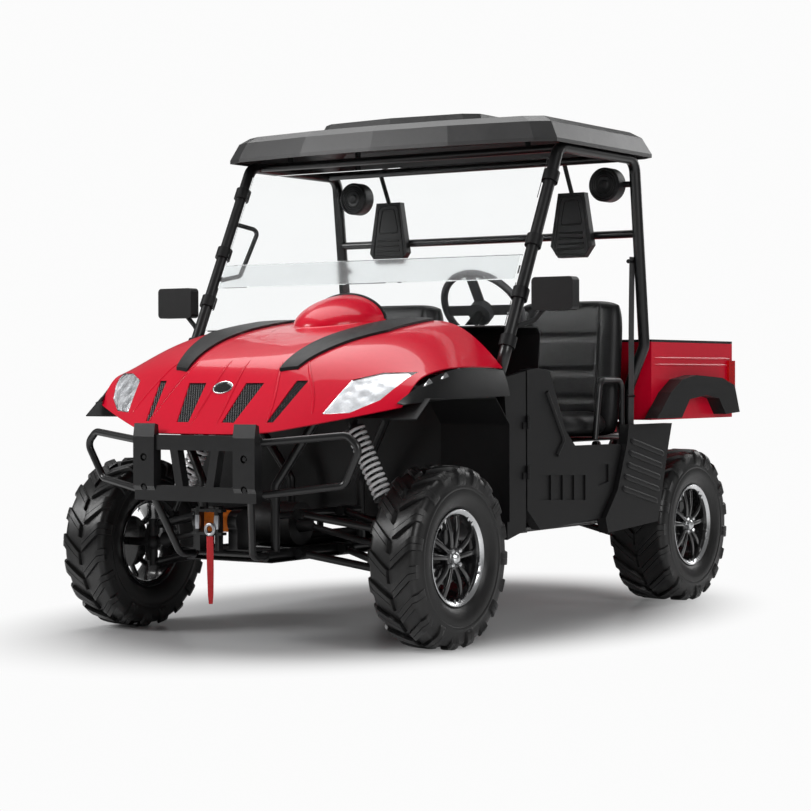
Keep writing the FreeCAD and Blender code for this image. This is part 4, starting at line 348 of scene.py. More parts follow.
def node_mesh(node: bpy.types.Object) -> tuple[np.ndarray, np.ndarray]:
    """A CAD node's points in the world, and the corners of its triangles."""
    mesh, place = node.data, np.array(node.matrix_world)
    points = np.empty(len(mesh.vertices) * 3)
    mesh.vertices.foreach_get("co", points)
    mesh.calc_loop_triangles()
    corners = np.empty(len(mesh.loop_triangles) * 3, int)
    mesh.loop_triangles.foreach_get("vertices", corners)
    return points.reshape(-1, 3) @ place[:3, :3].T + place[:3, 3], corners.reshape(-1, 3)


def cast(node: bpy.types.Object, start: Point, way: Point, reach: float = 10.0) -> tuple[Vector, Vector] | None:
    """Where a ray meets a CAD node.

    Args:
        node: the node.
        start: where the ray starts.
        way: its direction.
        reach: how far it goes.

    Returns:
        The place and the face's normal, or None.
    """
    inverse = node.matrix_world.inverted()
    hit, place, normal, _ = node.ray_cast(inverse @ Vector(start), Vector(way), distance=reach)
    return (node.matrix_world @ place, normal) if hit else None


def first_run(places: Iterable[Point | None], least: int) -> list[Point]:
    """The first unbroken run of more than a few places.

    Args:
        places: the places in order, None where a ray met nothing.
        least: the count that a run has to pass.

    Returns:
        The run, or what came last if none is long enough.
    """
    run: list[Point] = []
    for place in places:
        if place is not None:
            run.append(place)
        elif len(run) > least:
            break
        else:
            run = []
    return run


# Node groups


class Bench:
    """A node tree with short ways to add and join nodes."""

    def __init__(self, tree: bpy.types.NodeTree) -> None:
        """Keeps the tree that nodes are added to."""
        self.tree = tree

    def feed(self, target: bpy.types.NodeSocket, item: object) -> None:
        """Gives an input another node's output, a number, a colour or a vector."""
        if isinstance(item, bpy.types.NodeSocket):
            self.tree.links.new(item, target)
        else:
            target.default_value = (*item[:3], 1.0) if target.type == "RGBA" else item

    def tune(self, node: bpy.types.Node, **settings: object) -> bpy.types.Node:
        """Sets a node up.

        Args:
            node: the node.
            settings: its attributes, and its inputs by their capitalised names with _ for a space.

        Returns:
            The same node.
        """
        for name, value in settings.items():
            if name[0].isupper():
                self.feed(node.inputs[name.replace("_", " ")], value)
            else:
                setattr(node, name, value)
        return node

    def add(self, kind: str, **settings: object) -> bpy.types.Node:
        """Adds a node of a kind, named without its ShaderNode prefix, and sets it up."""
        return self.tune(self.tree.nodes.new(kind if kind.startswith("Node") else "ShaderNode" + kind), **settings)

    def maths(self, operation: str, first: object, second: object = 0.0) -> bpy.types.NodeSocket:
        """Adds a Math node on two sockets or numbers and gives its result."""
        node = self.add("Math", operation=operation)
        self.feed(node.inputs[0], first)
        self.feed(node.inputs[1], second)
        return node.outputs[0]

    def product(self, first: object, *others: object) -> bpy.types.NodeSocket:
        """Multiplies sockets or numbers, from the first one on."""
        for other in others:
            first = self.maths("MULTIPLY", first, other)
        return first

    def ramp(self, value: bpy.types.NodeSocket, low: float, high: float, **settings: object) -> bpy.types.NodeSocket:
        """Adds a Map Range node that rises from 0 at low to 1 at high, and gives its result."""
        return self.add("MapRange", Value=value, From_Min=low, From_Max=high, **settings).outputs[0]

    def mix(self, share: object, first: object, second: object) -> bpy.types.NodeSocket:
        """Adds a Mix node for two colours, with the second one's share, and gives its result."""
        node = self.add("Mix", data_type="RGBA")
        for place, item in ((0, share), (6, first), (7, second)):
            self.feed(node.inputs[place], item)
        return node.outputs[2]

    def seen(self) -> tuple[bpy.types.NodeSocket, bpy.types.Node]:
        """Gives 1 for rays that reach the camera straight or through glass, and the Light Path node."""
        path = self.add("LightPath")
        return self.maths("MAXIMUM", path.outputs["Is Camera Ray"], path.outputs["Is Transmission Ray"]), path


def new_group(name: str, takes: dict[str, object], gives: tuple[str, ...]) -> tuple[Bench, dict, dict]:
    """A shader node group with named sockets.

    Args:
        name: the group's name.
        takes: each input's default, a number or a colour.
        gives: the outputs' names; Colour is a colour and the others are numbers.

    Returns:
        The bench, the input sockets by name and the output sockets by name.
    """
    tree = bpy.data.node_groups.new(name, "ShaderNodeTree")
    for label, value in takes.items():
        kind = "NodeSocketColor" if isinstance(value, tuple) else "NodeSocketFloat"
        tree.interface.new_socket(label, in_out="INPUT", socket_type=kind).default_value = value
    for label in gives:
        kind = "NodeSocketColor" if label == "Colour" else "NodeSocketFloat"
        tree.interface.new_socket(label, in_out="OUTPUT", socket_type=kind)
    bench = Bench(tree)
    start, end = bench.add("NodeGroupInput"), bench.add("NodeGroupOutput")
    return bench, {k: start.outputs[k] for k in takes}, {k: end.inputs[k] for k in gives}


def grain_group() -> bpy.types.NodeTree:
    """Moulded grain: cells for the pebbles, with a fine noise between them, as a height from 0 to 1."""
    bench, give, take = new_group("moulded_grain", {"Scale": 600.0, "Softness": 0.5}, ("Height",))
    where = bench.add("TexCoord").outputs["Object"]
    cells = bench.add("TexVoronoi", feature="SMOOTH_F1", Vector=where, Scale=give["Scale"])
    noise = bench.add("TexNoise", Vector=where, Scale=bench.product(give["Scale"], 1.7), Detail=3.0, Roughness=0.6)
    pebbles = bench.product(cells.outputs["Distance"], bench.maths("SUBTRACT", 1.0, give["Softness"]))
    bench.feed(take["Height"], bench.maths("ADD", pebbles, bench.product(noise.outputs[0], give["Softness"])))
    return bench.tree


def drift_group() -> bpy.types.NodeTree:
    """Colour that drifts over hands' breadths: two sizes of noise tint one colour towards another."""
    takes = {"Colour": GREY, "Drift": (0.4, 0.4, 0.4, 1.0), "Scale": 6.0, "Amount": 0.5}
    bench, give, take = new_group("colour_drift", takes, ("Colour", "Mask"))
    where = bench.add("TexCoord").outputs["Object"]
    noises = [
        bench.add(
            "TexNoise", Vector=where, Scale=bench.product(give["Scale"], share), Detail=detail, Roughness=roughness
        ).outputs[0]
        for share, detail, roughness in ((1.0, 4.0, 0.55), (9.0, 2.0, 0.7))
    ]
    both = bench.product(bench.maths("ADD", *noises), 0.5)
    mask = bench.product(bench.ramp(both, 0.35, 0.65), give["Amount"])
    bench.feed(take["Colour"], bench.mix(mask, give["Colour"], give["Drift"]))
    bench.feed(take["Mask"], mask)
    return bench.tree


def dust_group() -> bpy.types.NodeTree:
    """Road dust: thicker near the ground and on faces that look up, broken by noise."""
    bench, give, take = new_group("road_dust", {"Colour": GREY, "Amount": 0.3}, ("Colour", "Mask"))
    where = bench.add("TexCoord").outputs["Object"]
    noise = bench.add("TexNoise", Vector=where, Scale=14.0, Detail=6.0, Roughness=0.7)
    height = bench.add("SeparateXYZ", Vector=where).outputs["Z"]
    facing = bench.add("SeparateXYZ", Vector=bench.add("NewGeometry").outputs["Normal"]).outputs["Z"]
    low, up = bench.ramp(height, 1.1, 0.0), bench.ramp(facing, -0.4, 1.0, To_Min=0.4)
    mask = bench.product(low, up, bench.ramp(noise.outputs[0], 0.38, 0.72), give["Amount"])
    bench.feed(take["Colour"], bench.mix(mask, give["Colour"], (0.23, 0.20, 0.17)))
    bench.feed(take["Mask"], mask)
    return bench.tree


def weave_group() -> bpy.types.NodeTree:
    """Webbing: two crossed waves on the piece's own map, one along it and one across, as a height."""
    bench, give, take = new_group("woven_threads", {"Along": 120.0, "Across": 12.0}, ("Height",))
    split = bench.add("SeparateXYZ", Vector=bench.add("TexCoord").outputs["UV"])
    waves = [
        bench.maths("SINE", bench.product(split.outputs[axis], give[count], FULL_TURN))
        for axis, count in (("X", "Along"), ("Y", "Across"))
    ]
    bench.feed(take["Height"], bench.product(bench.maths("ADD", bench.product(*waves), 1.0), 0.5))
    return bench.tree


def rubbed_group() -> bpy.types.NodeTree:
    """Fine rubbed lines: noise drawn out along one way, as a height from 0 to 1."""
    bench, give, take = new_group("rubbed_lines", {"Scale": 300.0}, ("Height",))
    drawn = bench.add("Mapping", Vector=bench.add("TexCoord").outputs["Object"], Scale=(0.04, 1.0, 1.0))
    noise = bench.add("TexNoise", Vector=drawn.outputs[0], Scale=give["Scale"], Detail=4.0, Roughness=0.7)
    bench.feed(take["Height"], noise.outputs[0])
    return bench.tree


class Groups:
    """The shared node groups, each built once."""

    def __init__(self) -> None:
        """Builds every group."""
        self.grain = grain_group()
        self.drift = drift_group()
        self.dust = dust_group()
        self.weave = weave_group()
        self.rubbed = rubbed_group()


# Finishes


def new_material(name: str) -> tuple[bpy.types.Material, Bench, bpy.types.Node]:
    """A node material, its bench and its Principled node."""
    made = bpy.data.materials.new(name)
    made.use_nodes = True
    return made, Bench(made.node_tree), made.node_tree.nodes["Principled BSDF"]


class Relief(Enum):
    """What gives a finish its small relief."""

    GRAIN = "grain"
    RUBBED = "rubbed"
    WOVEN = "woven"


@dataclass(frozen=True)
class Finish:
    """An opaque finish: drifting colour, dust, a small relief and a varied roughness."""

    name: str
    colour: Colour
    drift: Colour
    roughness: float
    spread: float = 0.08
    metallic: float = 0.0
    coat: float = 0.0
    coat_roughness: float = 0.05
    relief: Relief = Relief.GRAIN
    relief_scale: float = 700.0
    relief_depth: float = 0.15
    relief_softness: float = 0.5
    relief_reach: float = 0.001
    drift_scale: float = 5.0
    drift_amount: float = 0.6
    dust: float = 0.25
    sheen: float = 0.0
    specular: float = 0.5
    threads: tuple[float, float] = (120.0, 12.0)
    dust_roughness: float = 0.4

    def material(self, groups: Groups) -> bpy.types.Material:
        """Builds the material from the shared node groups."""
        made, bench, shader = new_material(self.name)
        made.diffuse_color = (*self.colour, 1.0)
        drift = bench.add(
            "Group", node_tree=groups.drift, Colour=self.colour, Drift=self.drift, Scale=self.drift_scale,
            Amount=self.drift_amount,
        )
        dust = bench.add("Group", node_tree=groups.dust, Colour=drift.outputs["Colour"], Amount=self.dust)
        varied = bench.product(drift.outputs["Mask"], self.spread)
        dusty = bench.product(dust.outputs["Mask"], self.dust_roughness)
        height = self._height(bench, groups)
        bump = bench.add("Bump", Strength=self.relief_depth, Distance=self.relief_reach, Height=height)
        bench.tune(
            shader, Metallic=self.metallic, Coat_Weight=self.coat, Coat_Roughness=self.coat_roughness,
            Sheen_Weight=self.sheen, Specular_IOR_Level=self.specular, Base_Color=dust.outputs["Colour"],
            Roughness=bench.maths("ADD", bench.maths("ADD", varied, dusty), self.roughness), Normal=bump.outputs[0],
        )
        return made

    def _height(self, bench: Bench, groups: Groups) -> bpy.types.NodeSocket:
        """The relief's height socket, from the group for its kind."""
        along, across = self.threads
        tree, values = {
            Relief.WOVEN: (groups.weave, {"Along": along, "Across": across}),
            Relief.RUBBED: (groups.rubbed, {"Scale": self.relief_scale}),
            Relief.GRAIN: (groups.grain, {"Scale": self.relief_scale, "Softness": self.relief_softness}),
        }[self.relief]
        return bench.add("Group", node_tree=tree, **values).outputs["Height"]


@dataclass(frozen=True)
class ClearFinish:
    """A clear or tinted sheet or lens, with faint haze and ripple."""

    name: str
    colour: Colour
    roughness: float
    ior: float
    transmission: float
    ripple: float
    haze: float = 0.03
    ripple_scale: float = 9.0

    def material(self, groups: Groups) -> bpy.types.Material:
        """Builds the material from the shared node groups."""
        made, bench, shader = new_material(self.name)
        made.diffuse_color = (*self.colour, 0.3)
        paler = tuple(0.97 * c for c in self.colour)
        drift = bench.add("Group", node_tree=groups.drift, Colour=self.colour, Drift=paler)
        rough = bench.maths("ADD", bench.product(drift.outputs["Mask"], self.haze), self.roughness)
        grain = bench.add("Group", node_tree=groups.grain, Scale=self.ripple_scale, Softness=1.0)
        bump = bench.add("Bump", Strength=self.ripple, Distance=0.001, Height=grain.outputs["Height"])
        bench.tune(
            shader, Metallic=0.0, IOR=self.ior, Transmission_Weight=self.transmission,
            Base_Color=drift.outputs["Colour"], Roughness=rough, Normal=bump.outputs[0],
        )
        return made


class Paints:
    """Every finish of the vehicle, made into materials once."""

    LIST = (
        Finish("red_body_gloss", (0.72, 0.001, 0.026), (0.62, 0.001, 0.020), 0.34, 0.05, coat=0.45,
               coat_roughness=0.04, relief_scale=1400.0, relief_depth=0.015, drift_amount=0.5, dust=0.02,
               specular=0.2),
        Finish("black_moulding", (0.005, 0.005, 0.0055), (0.009, 0.009, 0.0095), 0.42, 0.1, relief_scale=900.0,
               relief_depth=0.25, dust=0.02, specular=0.28),
        # the roof's finish is lighter than black_moulding: a painted sheen for the sky's reflection on the roof top
        Finish("roof_moulding_painted_sheen", (0.022, 0.022, 0.0225), (0.032, 0.032, 0.033), 0.36, 0.1, relief_scale=520.0,
               relief_depth=0.25, dust=0.02, specular=0.6),
        Finish("powder_coat", (0.005, 0.005, 0.0055), (0.008, 0.008, 0.0085), 0.3, relief_scale=1600.0,
               relief_depth=0.12, coat=0.15, coat_roughness=0.2, dust=0.02),
        Finish("tyre_rubber", (0.0050, 0.0050, 0.0055), (0.010, 0.0098, 0.0095), 0.32, 0.16, relief_scale=420.0,
               relief_depth=0.35, relief_softness=0.8, drift_scale=14.0, dust=0.04),
        Finish("gloss_black_alloy", (0.008, 0.008, 0.009), (0.014, 0.014, 0.015), 0.16, 0.05, coat=1.0,
               relief_scale=1500.0, relief_depth=0.02, dust=0.05),
        Finish("machined_alloy", (0.78, 0.79, 0.80), (0.66, 0.67, 0.69), 0.22, 0.1, metallic=1.0,
               relief=Relief.RUBBED, relief_scale=900.0, relief_depth=0.1, dust=0.03),
        Finish("spring_coating", (0.92, 0.92, 0.93), (0.80, 0.81, 0.82), 0.3, 0.1, coat=0.8, relief_scale=1300.0,
               relief_depth=0.06, dust=0.10),
        Finish("zinc_plate", (0.55, 0.56, 0.58), (0.4, 0.41, 0.43), 0.32, 0.12, metallic=1.0,
               relief=Relief.RUBBED, relief_scale=500.0, drift_scale=24.0, dust=0.02),
        Finish("mesh_wire", (0.03, 0.03, 0.032), (0.05, 0.05, 0.052), 0.25, relief_scale=1500.0,
               relief_depth=0.1, coat=0.5, dust=0.0),
        Finish("grey_moulding", (0.055, 0.055, 0.058), (0.075, 0.075, 0.078), 0.42, 0.1, relief_scale=900.0,
               relief_depth=0.2, dust=0.02),
        Finish("cast_iron", (0.022, 0.022, 0.024), (0.036, 0.035, 0.034), 0.5, 0.12, metallic=0.5,
               relief_scale=330.0, relief_depth=0.5, dust=0.08),
        Finish("lamp_reflector", (0.80, 0.81, 0.83), (0.34, 0.345, 0.355), 0.26, 0.1, metallic=0.9, relief_scale=24.0,
               relief_depth=0.55, relief_softness=0.0, relief_reach=0.010, drift_scale=40.0, drift_amount=0.7,
               dust=0.0),
        Finish("muffler_steel", (0.32, 0.31, 0.30), (0.2, 0.18, 0.16), 0.38, 0.16, metallic=1.0,
               relief=Relief.RUBBED, relief_scale=260.0, relief_depth=0.2, dust=0.2),
        Finish("seat_vinyl", (0.006, 0.006, 0.0065), (0.010, 0.010, 0.0105), 0.38, 0.1, relief_scale=420.0,
               relief_depth=0.42, relief_softness=0.35, dust=0.02, specular=0.3),
        Finish("belt_webbing", (0.012, 0.012, 0.013), (0.02, 0.02, 0.021), 0.7, relief=Relief.WOVEN,
               relief_depth=0.6, sheen=0.3, threads=(260.0, 10.0), dust=0.02),
        Finish("strap_webbing", (0.62, 0.012, 0.02), (0.5, 0.01, 0.016), 0.65, 0.1, relief=Relief.WOVEN,
               relief_depth=0.7, sheen=0.3, threads=(90.0, 8.0), dust=0.02),
        Finish("winch_line", (1.0, 0.24, 0.01), (0.9, 0.19, 0.008), 0.55, 0.1, relief_scale=380.0,
               relief_depth=0.5, dust=0.05),
        ClearFinish("clear_windshield", (0.97, 0.985, 0.985), 0.01, 1.12, 1.0, 0.01),
        ClearFinish("frosted_band", (0.90, 0.915, 0.92), 0.10, 1.25, 0.93, 0.02),
        ClearFinish("lamp_lens", (0.97, 0.98, 0.99), 0.01, 1.45, 1.0, 0.03),
        ClearFinish("red_lens", (0.75, 0.01, 0.012), 0.05, 1.45, 0.55, 0.05),
    )

    def __init__(self) -> None:
        """Builds the groups and every material."""
        groups = Groups()
        self.made = {finish.name: finish.material(groups) for finish in self.LIST}

    def coat(self, piece: bpy.types.Object, name: str) -> None:
        """Gives a piece one finish."""
        piece.data.materials.clear()
        piece.data.materials.append(self.made[name])

    def repaint(self, piece: bpy.types.Object, name: str) -> None:
        """Gives every slot of a carried-over CAD node one finish."""
        for slot in piece.material_slots:
            slot.link = "OBJECT"
            slot.material = self.made[name]


# Parts


class Part:
    """What every sub-assembly has: the CAD nodes, and a way to finish a piece."""

    SLOTS = {
        "red_body_gloss": "red_paint", "black_moulding": "black_plastic", "powder_coat": "black_steel",
        "mesh_wire": "black_steel", "tyre_rubber": "tyre", "gloss_black_alloy": "rim", "machined_alloy": "zinc",
        "spring_coating": "zinc", "zinc_plate": "zinc", "lamp_reflector": "zinc", "cast_iron": "iron",
        "frosted_band": "clear", "seat_vinyl": "vinyl", "belt_webbing": "webbing", "strap_webbing": "red_webbing",
    }

    def __init__(self, paints: Paints, nodes: dict[str, bpy.types.Object]) -> None:
        """Keeps the paints and the CAD nodes by name."""
        self.paints = paints
        self.nodes = nodes

    def finish_piece(
        self,
        name: str,
        shell: Shell,
        paint: str,
        body: str = "vehicle",
        replaces: tuple[str, ...] = (),
        slot: str = "",
        heal: bool = True,
        crease_angle: float = 35.0,
    ) -> bpy.types.Object:
        """Makes a piece, paints it and lets it ride on a body.

        Args:
            name: the piece's name.
            shell: its surface.
            paint: the name of its finish.
            body: the CAD body that carries it.
            replaces: the CAD nodes that it stands for.
            slot: the record's slot, or nothing for the finish's usual one; it is worked out but not used.
            heal: whether doubles are merged and the faces turned outwards.
            crease_angle: faces that meet at more degrees than this keep a sharp edge.

        Returns:
            The piece.
        """
        piece = put_mesh(name, shell, heal, crease_angle)
        slot = slot or self.SLOTS[paint]
        self.paints.coat(piece, paint)
        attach(piece, body)
        if replaces:
            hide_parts(*replaces)
        LOG.info("%s: %d faces", name, len(piece.data.polygons))
        return piece


class Assembly:
    """One sub-assembly of the vehicle."""

    def build(self, part: Part) -> None:
        """Builds its pieces.

        Args:
            part: what finishes the pieces, with the CAD nodes.
        """
        raise NotImplementedError


class CarriedNodes(Assembly):
    """CAD nodes whose shape stays and that get a finish."""

    FINISHES = {
        "red_body_gloss": ("cargo_bed", "tailgate"),
        "black_moulding": (
            "left_door", "right_door", "side_panels", "front_fenders", "dash", "hood_grilles", "bed_trim",
            "cab_mouldings", "pillar_fittings",
        ),
        "grey_moulding": ("steering_wheel",),
        # the roof's lighter finish carries a painted sheen for the sky's reflection on its top
        "roof_moulding_painted_sheen": ("roof",),
        "powder_coat": (
            "chassis_frame", "roll_cage", "hip_hoops", "suspension_arms", "floor_pan", "winch", "hitch_receiver",
            "front_bumper",
        ),
        "cast_iron": ("left_knuckle", "right_knuckle", "driveline", "engine_block"),
        "zinc_plate": ("winch_hook",),
        "muffler_steel": ("muffler",),
        "clear_windshield": ("windshield",),
        "lamp_lens": ("headlamps",),
        "red_lens": ("tail_lamps",),
        "winch_line": ("winch_rope",),
    }

    def build(self, part: Part) -> None:
        """Paints every node that the table names."""
        for paint, names in self.FINISHES.items():
            for name in names:
                part.paints.repaint(part.nodes[name], paint)


@dataclass(frozen=True)
class Wheel:
    """Where a wheel is, and half of its tyre's and of its rim's width."""

    name: str
    body: str
    x: float
    y: float
    half: float
    rim_half: float


def wheels() -> Iterator[Wheel]:
    """The four wheels, front and left ones first."""
    for end, x, y, half, rim_half in (("front", 0.685, -0.88, 0.100, 0.080), ("rear", 0.5975, 1.04, 0.1275, 0.110)):
        for side, way in (("left", 1.0), ("right", -1.0)):
            yield Wheel(f"{end}_{side}", f"{side}_{end}_wheel", way * x, y, half, rim_half)


@dataclass
class Tyres(Assembly):
    """Four tyres with slanted lugs that stand half a pitch apart on their two sides."""

    lug_depth: float = 0.0142
    lugs: int = 19
    slant: float = 0.93
    shoulder: float = 0.022
    long_lugs_from: int = 12
    wall_from: float = 0.17
    wall_run: float = 0.06
    lug_ramp: float = 0.03
    lug_ease: float = 0.6

    def section(self, half: float, rim_half: float) -> np.ndarray:
        """One side's section from the tread's middle to the bead.

        Args:
            half: half of the tyre's width.
            rim_half: half of the rim's width.

        Returns:
            Rows of x and radius on the carcass, then x and radius on a lug.
        """
        top, low = AXLE_HEIGHT, AXLE_HEIGHT - self.lug_depth
        edge, bead = half - self.shoulder, rim_half - 0.0073
        crown = [(0.0, low, 0.0, low), (0.004, low, 0.004, low + 0.001), (0.008, low, 0.0075, top - 0.0015)]
        tread = [(x, low, x, top - 0.0025 * (x / edge) ** 2) for x in np.linspace(0.014, edge - 0.006, 6)]
        lugged = [
            (edge, low - 0.001, edge, top - 0.004),
            (edge + 0.008, low - 0.007, edge + 0.011, top - 0.0105),
            (half - 0.008, low - 0.018, half - 0.002, top - 0.024),
            (half - 0.0065, low - 0.028, half, top - 0.036),
            (half - 0.006, 0.262, half, 0.266),
            (half - 0.0055, 0.257, half - 0.0015, 0.2585),
        ]
        wall = [
            (half - 0.005, 0.252), (half - 0.0028, 0.246), (half - 0.0028, 0.240), (half - 0.0045, 0.237),
            (half - 0.003, 0.224), (half - 0.005, 0.208), (half - 0.010, 0.194),
            (0.5 * (half + bead) - 0.001, 0.181), (bead + 0.004, 0.1725), (bead + 0.0004, 0.1685), (bead, 0.1530),
        ]
        return np.array(crown + tread + lugged + [(x, r, x, r) for x, r in wall])

    def surface(self, half: float, rim_half: float) -> Shell:
        """The tyre about its own axle.

        A row follows a lug's slant: its angle is 2 pi (k + p) / lugs + slant * x / R, where p runs
        over one pitch; the radius and width go from the carcass to the lug's top by the lug's share.

        Args:
            half: half of the tyre's width.
            rim_half: half of the rim's width.

        Returns:
            The closed surface.
        """
        side = self.section(half, rim_half)
        x0, r0, x1, r1 = side.T
        near = np.array([0.0, 0.014, 0.03, 0.10, 0.17, 0.235, 0.25, 0.265, 0.33, 0.40, 0.47, 0.486])
        rows = (np.arange(self.lugs)[:, None] + np.concatenate([near, near + 0.5])[None, :]).ravel()
        edge = half - self.shoulder
        slanted = np.minimum(x0, edge) * self.slant + 0.25 * np.maximum(x0 - edge, 0)
        lean = slanted * np.clip((r0 - self.wall_from) / self.wall_run, 0, 1) / AXLE_HEIGHT
        angle = FULL_TURN * rows[:, None] / self.lugs + lean
        halves = []
        for way in (-1, 1):
            place = rows % 1.0 if way > 0 else (rows % 1.0 + 0.5) % 1.0
            share = np.clip(np.minimum(place, 0.5 - place) / self.lug_ramp, 0, 1) ** self.lug_ease
            share = share * (1.0 - 0.22 * (np.abs(place - 0.25) < 0.004))
            reach = np.repeat(share[:, None], len(side), axis=1)
            reach[:, self.long_lugs_from:] *= (np.floor(rows) % 2 == 0)[:, None]
            x, r = x0 + reach * (x1 - x0), r0 + reach * (r1 - r0)
            grid = np.stack([way * x, r * np.sin(angle), r * np.cos(angle)], axis=2)
            halves.append(grid[:, ::-1] if way < 0 else grid[:, 1:])
        return Shell.from_grid(np.concatenate(halves, axis=1), close_u=True, close_v=True)

    def build(self, part: Part) -> None:
        """Builds the four tyres over their CAD nodes."""
        for w in wheels():
            shell = self.surface(w.half, w.rim_half).moved(shift(w.x, w.y, AXLE_HEIGHT))
            part.finish_piece(
                f"{w.name}_lugged_tyre", shell, "tyre_rubber", w.body, (f"{w.name}_tyre",), crease_angle=30.0
            )


@dataclass
class Rims(Assembly):
    """Four black alloy rims with split spokes, bright lips, nuts and faceted caps."""

    spokes: int = 5
    nuts: int = 4
    nut_circle: float = 0.0335
    tab_places: tuple[float, float] = (0.42, 0.58)
    face_inset: float = 0.018

    def barrel(self, half: float) -> Shell:
        """The barrel with its two lips: a closed section turned about the axle."""
        outer = [(half - 0.0005, 0.1655), (half - 0.003, 0.1668), (half - 0.0068, 0.1665), (half - 0.0085, 0.1528),
                 (half - 0.018, 0.1519)]
        inner = [(-half + 0.002, 0.158), (-half + 0.012, 0.148), (-half + 0.02, 0.1462), (half - 0.05, 0.1462),
                 (half - 0.03, 0.1462), (half - 0.012, 0.150), (half - 0.003, 0.158)]
        return revolve(outer + [(-x, r) for x, r in outer[::-1]] + inner, 96)

    def spoke(self, half: float, way: int) -> Shell:
        """One bar of a split spoke: a rounded box whose width grows from the hub to the barrel.

        Args:
            half: half of the rim's width.
            way: which of the two bars.

        Returns:
            The closed bar, at the top of the wheel.
        """
        t = np.linspace(0, 1, 9)
        x = half - 0.0265 + 0.006 * np.sin(math.pi * t) - 0.004 * t
        middle = np.stack([x, way * (0.011 + 0.024 * t ** 1.2), 0.034 + t * 0.1135], axis=1)
        wide, tall = rounded(16, 1.0, 1.0, (0.5, 0.5))
        wide, deep = (0.0085 + 0.003 * t ** 2)[:, None] * wide, (0.0085 - 0.002 * t)[:, None] * tall
        return Shell.bar(sweep(middle, Y_AXIS, X_AXIS, wide, deep))

    def hub(self, half: float) -> Shell:
        """The hub and the brake disc behind it: a closed section turned about the axle."""
        face = half - self.face_inset
        return revolve([
            (face, 0.0152), (face + 0.001, 0.030), (face - 0.001, 0.040), (face - 0.006, 0.043), (face - 0.033, 0.044),
            (face - 0.034, 0.095), (face - 0.035, 0.096), (face - 0.038, 0.096), (face - 0.039, 0.095),
            (face - 0.039, 0.0152),
        ], 64)

    def star(self, count: int, starts: tuple[float, ...] = (0.0,)) -> list[np.ndarray]:
        """Turns about the axle, evenly spaced from each start."""
        return [turn("X", FULL_TURN * (k + s) / count) for k in range(count) for s in starts]

    def bright(self, half: float) -> Shell:
        """The machined lip with its tabs, the nuts and the cap.

        Args:
            half: half of the rim's width.

        Returns:
            The bright surfaces.
        """
        lip = revolve([
            (half - 0.009, 0.1512), (half - 0.0025, 0.1585), (half + 0.0003, 0.1652), (half - 0.0006, 0.1672),
            (half - 0.0035, 0.1674), (half - 0.0045, 0.1655), (half - 0.010, 0.1525),
        ], 96)
        t = np.linspace(0, 1, 4)
        middle = np.stack([half - 0.0075 + 0.004 * t, np.zeros(4), 0.143 + 0.014 * t], axis=1)
        wide = np.array([-0.006, 0.006, 0.006, -0.006]) * (0.7 + 0.3 * t[:, None])
        tab = Shell.bar(sweep(middle, Y_AXIS, Z_AXIS, wide, np.array([0.0, 0.0, 0.003, 0.003])))
        face = half - self.face_inset
        nut = revolve([
            (face, 0.0005), (face, 0.0085), (face + 0.010, 0.0085), (face + 0.013, 0.006), (face + 0.0135, 0.0005),
        ], 6).moved(shift(0, 0, self.nut_circle))
        cap = revolve([
            (face, 0.0005), (face, 0.0215), (face + 0.009, 0.0205), (face + 0.016, 0.013), (face + 0.0175, 0.0005),
        ], 8)
        tabs = tab.copies(self.star(self.spokes, self.tab_places))
        return Shell.joined([lip, tabs, nut.copies(self.star(self.nuts, (0.5,))), cap])

    def build(self, part: Part) -> None:
        """Builds the rims over their CAD nodes, and their bright parts."""
        for w in wheels():
            bars = [self.spoke(w.rim_half, way).copies(self.star(self.spokes)) for way in (-1, 1)]
            black = Shell.joined([self.barrel(w.rim_half), self.hub(w.rim_half)] + bars)
            place = shift(w.x, w.y, AXLE_HEIGHT)
            if w.x < 0:
                place = place @ turn("Z", math.pi)
            part.finish_piece(
                f"{w.name}_alloy_rim", black.moved(place), "gloss_black_alloy", w.body, (f"{w.name}_rim",)
            )
            bright = self.bright(w.rim_half).moved(place)
            part.finish_piece(f"{w.name}_rim_brightwork", bright, "machined_alloy", w.body)


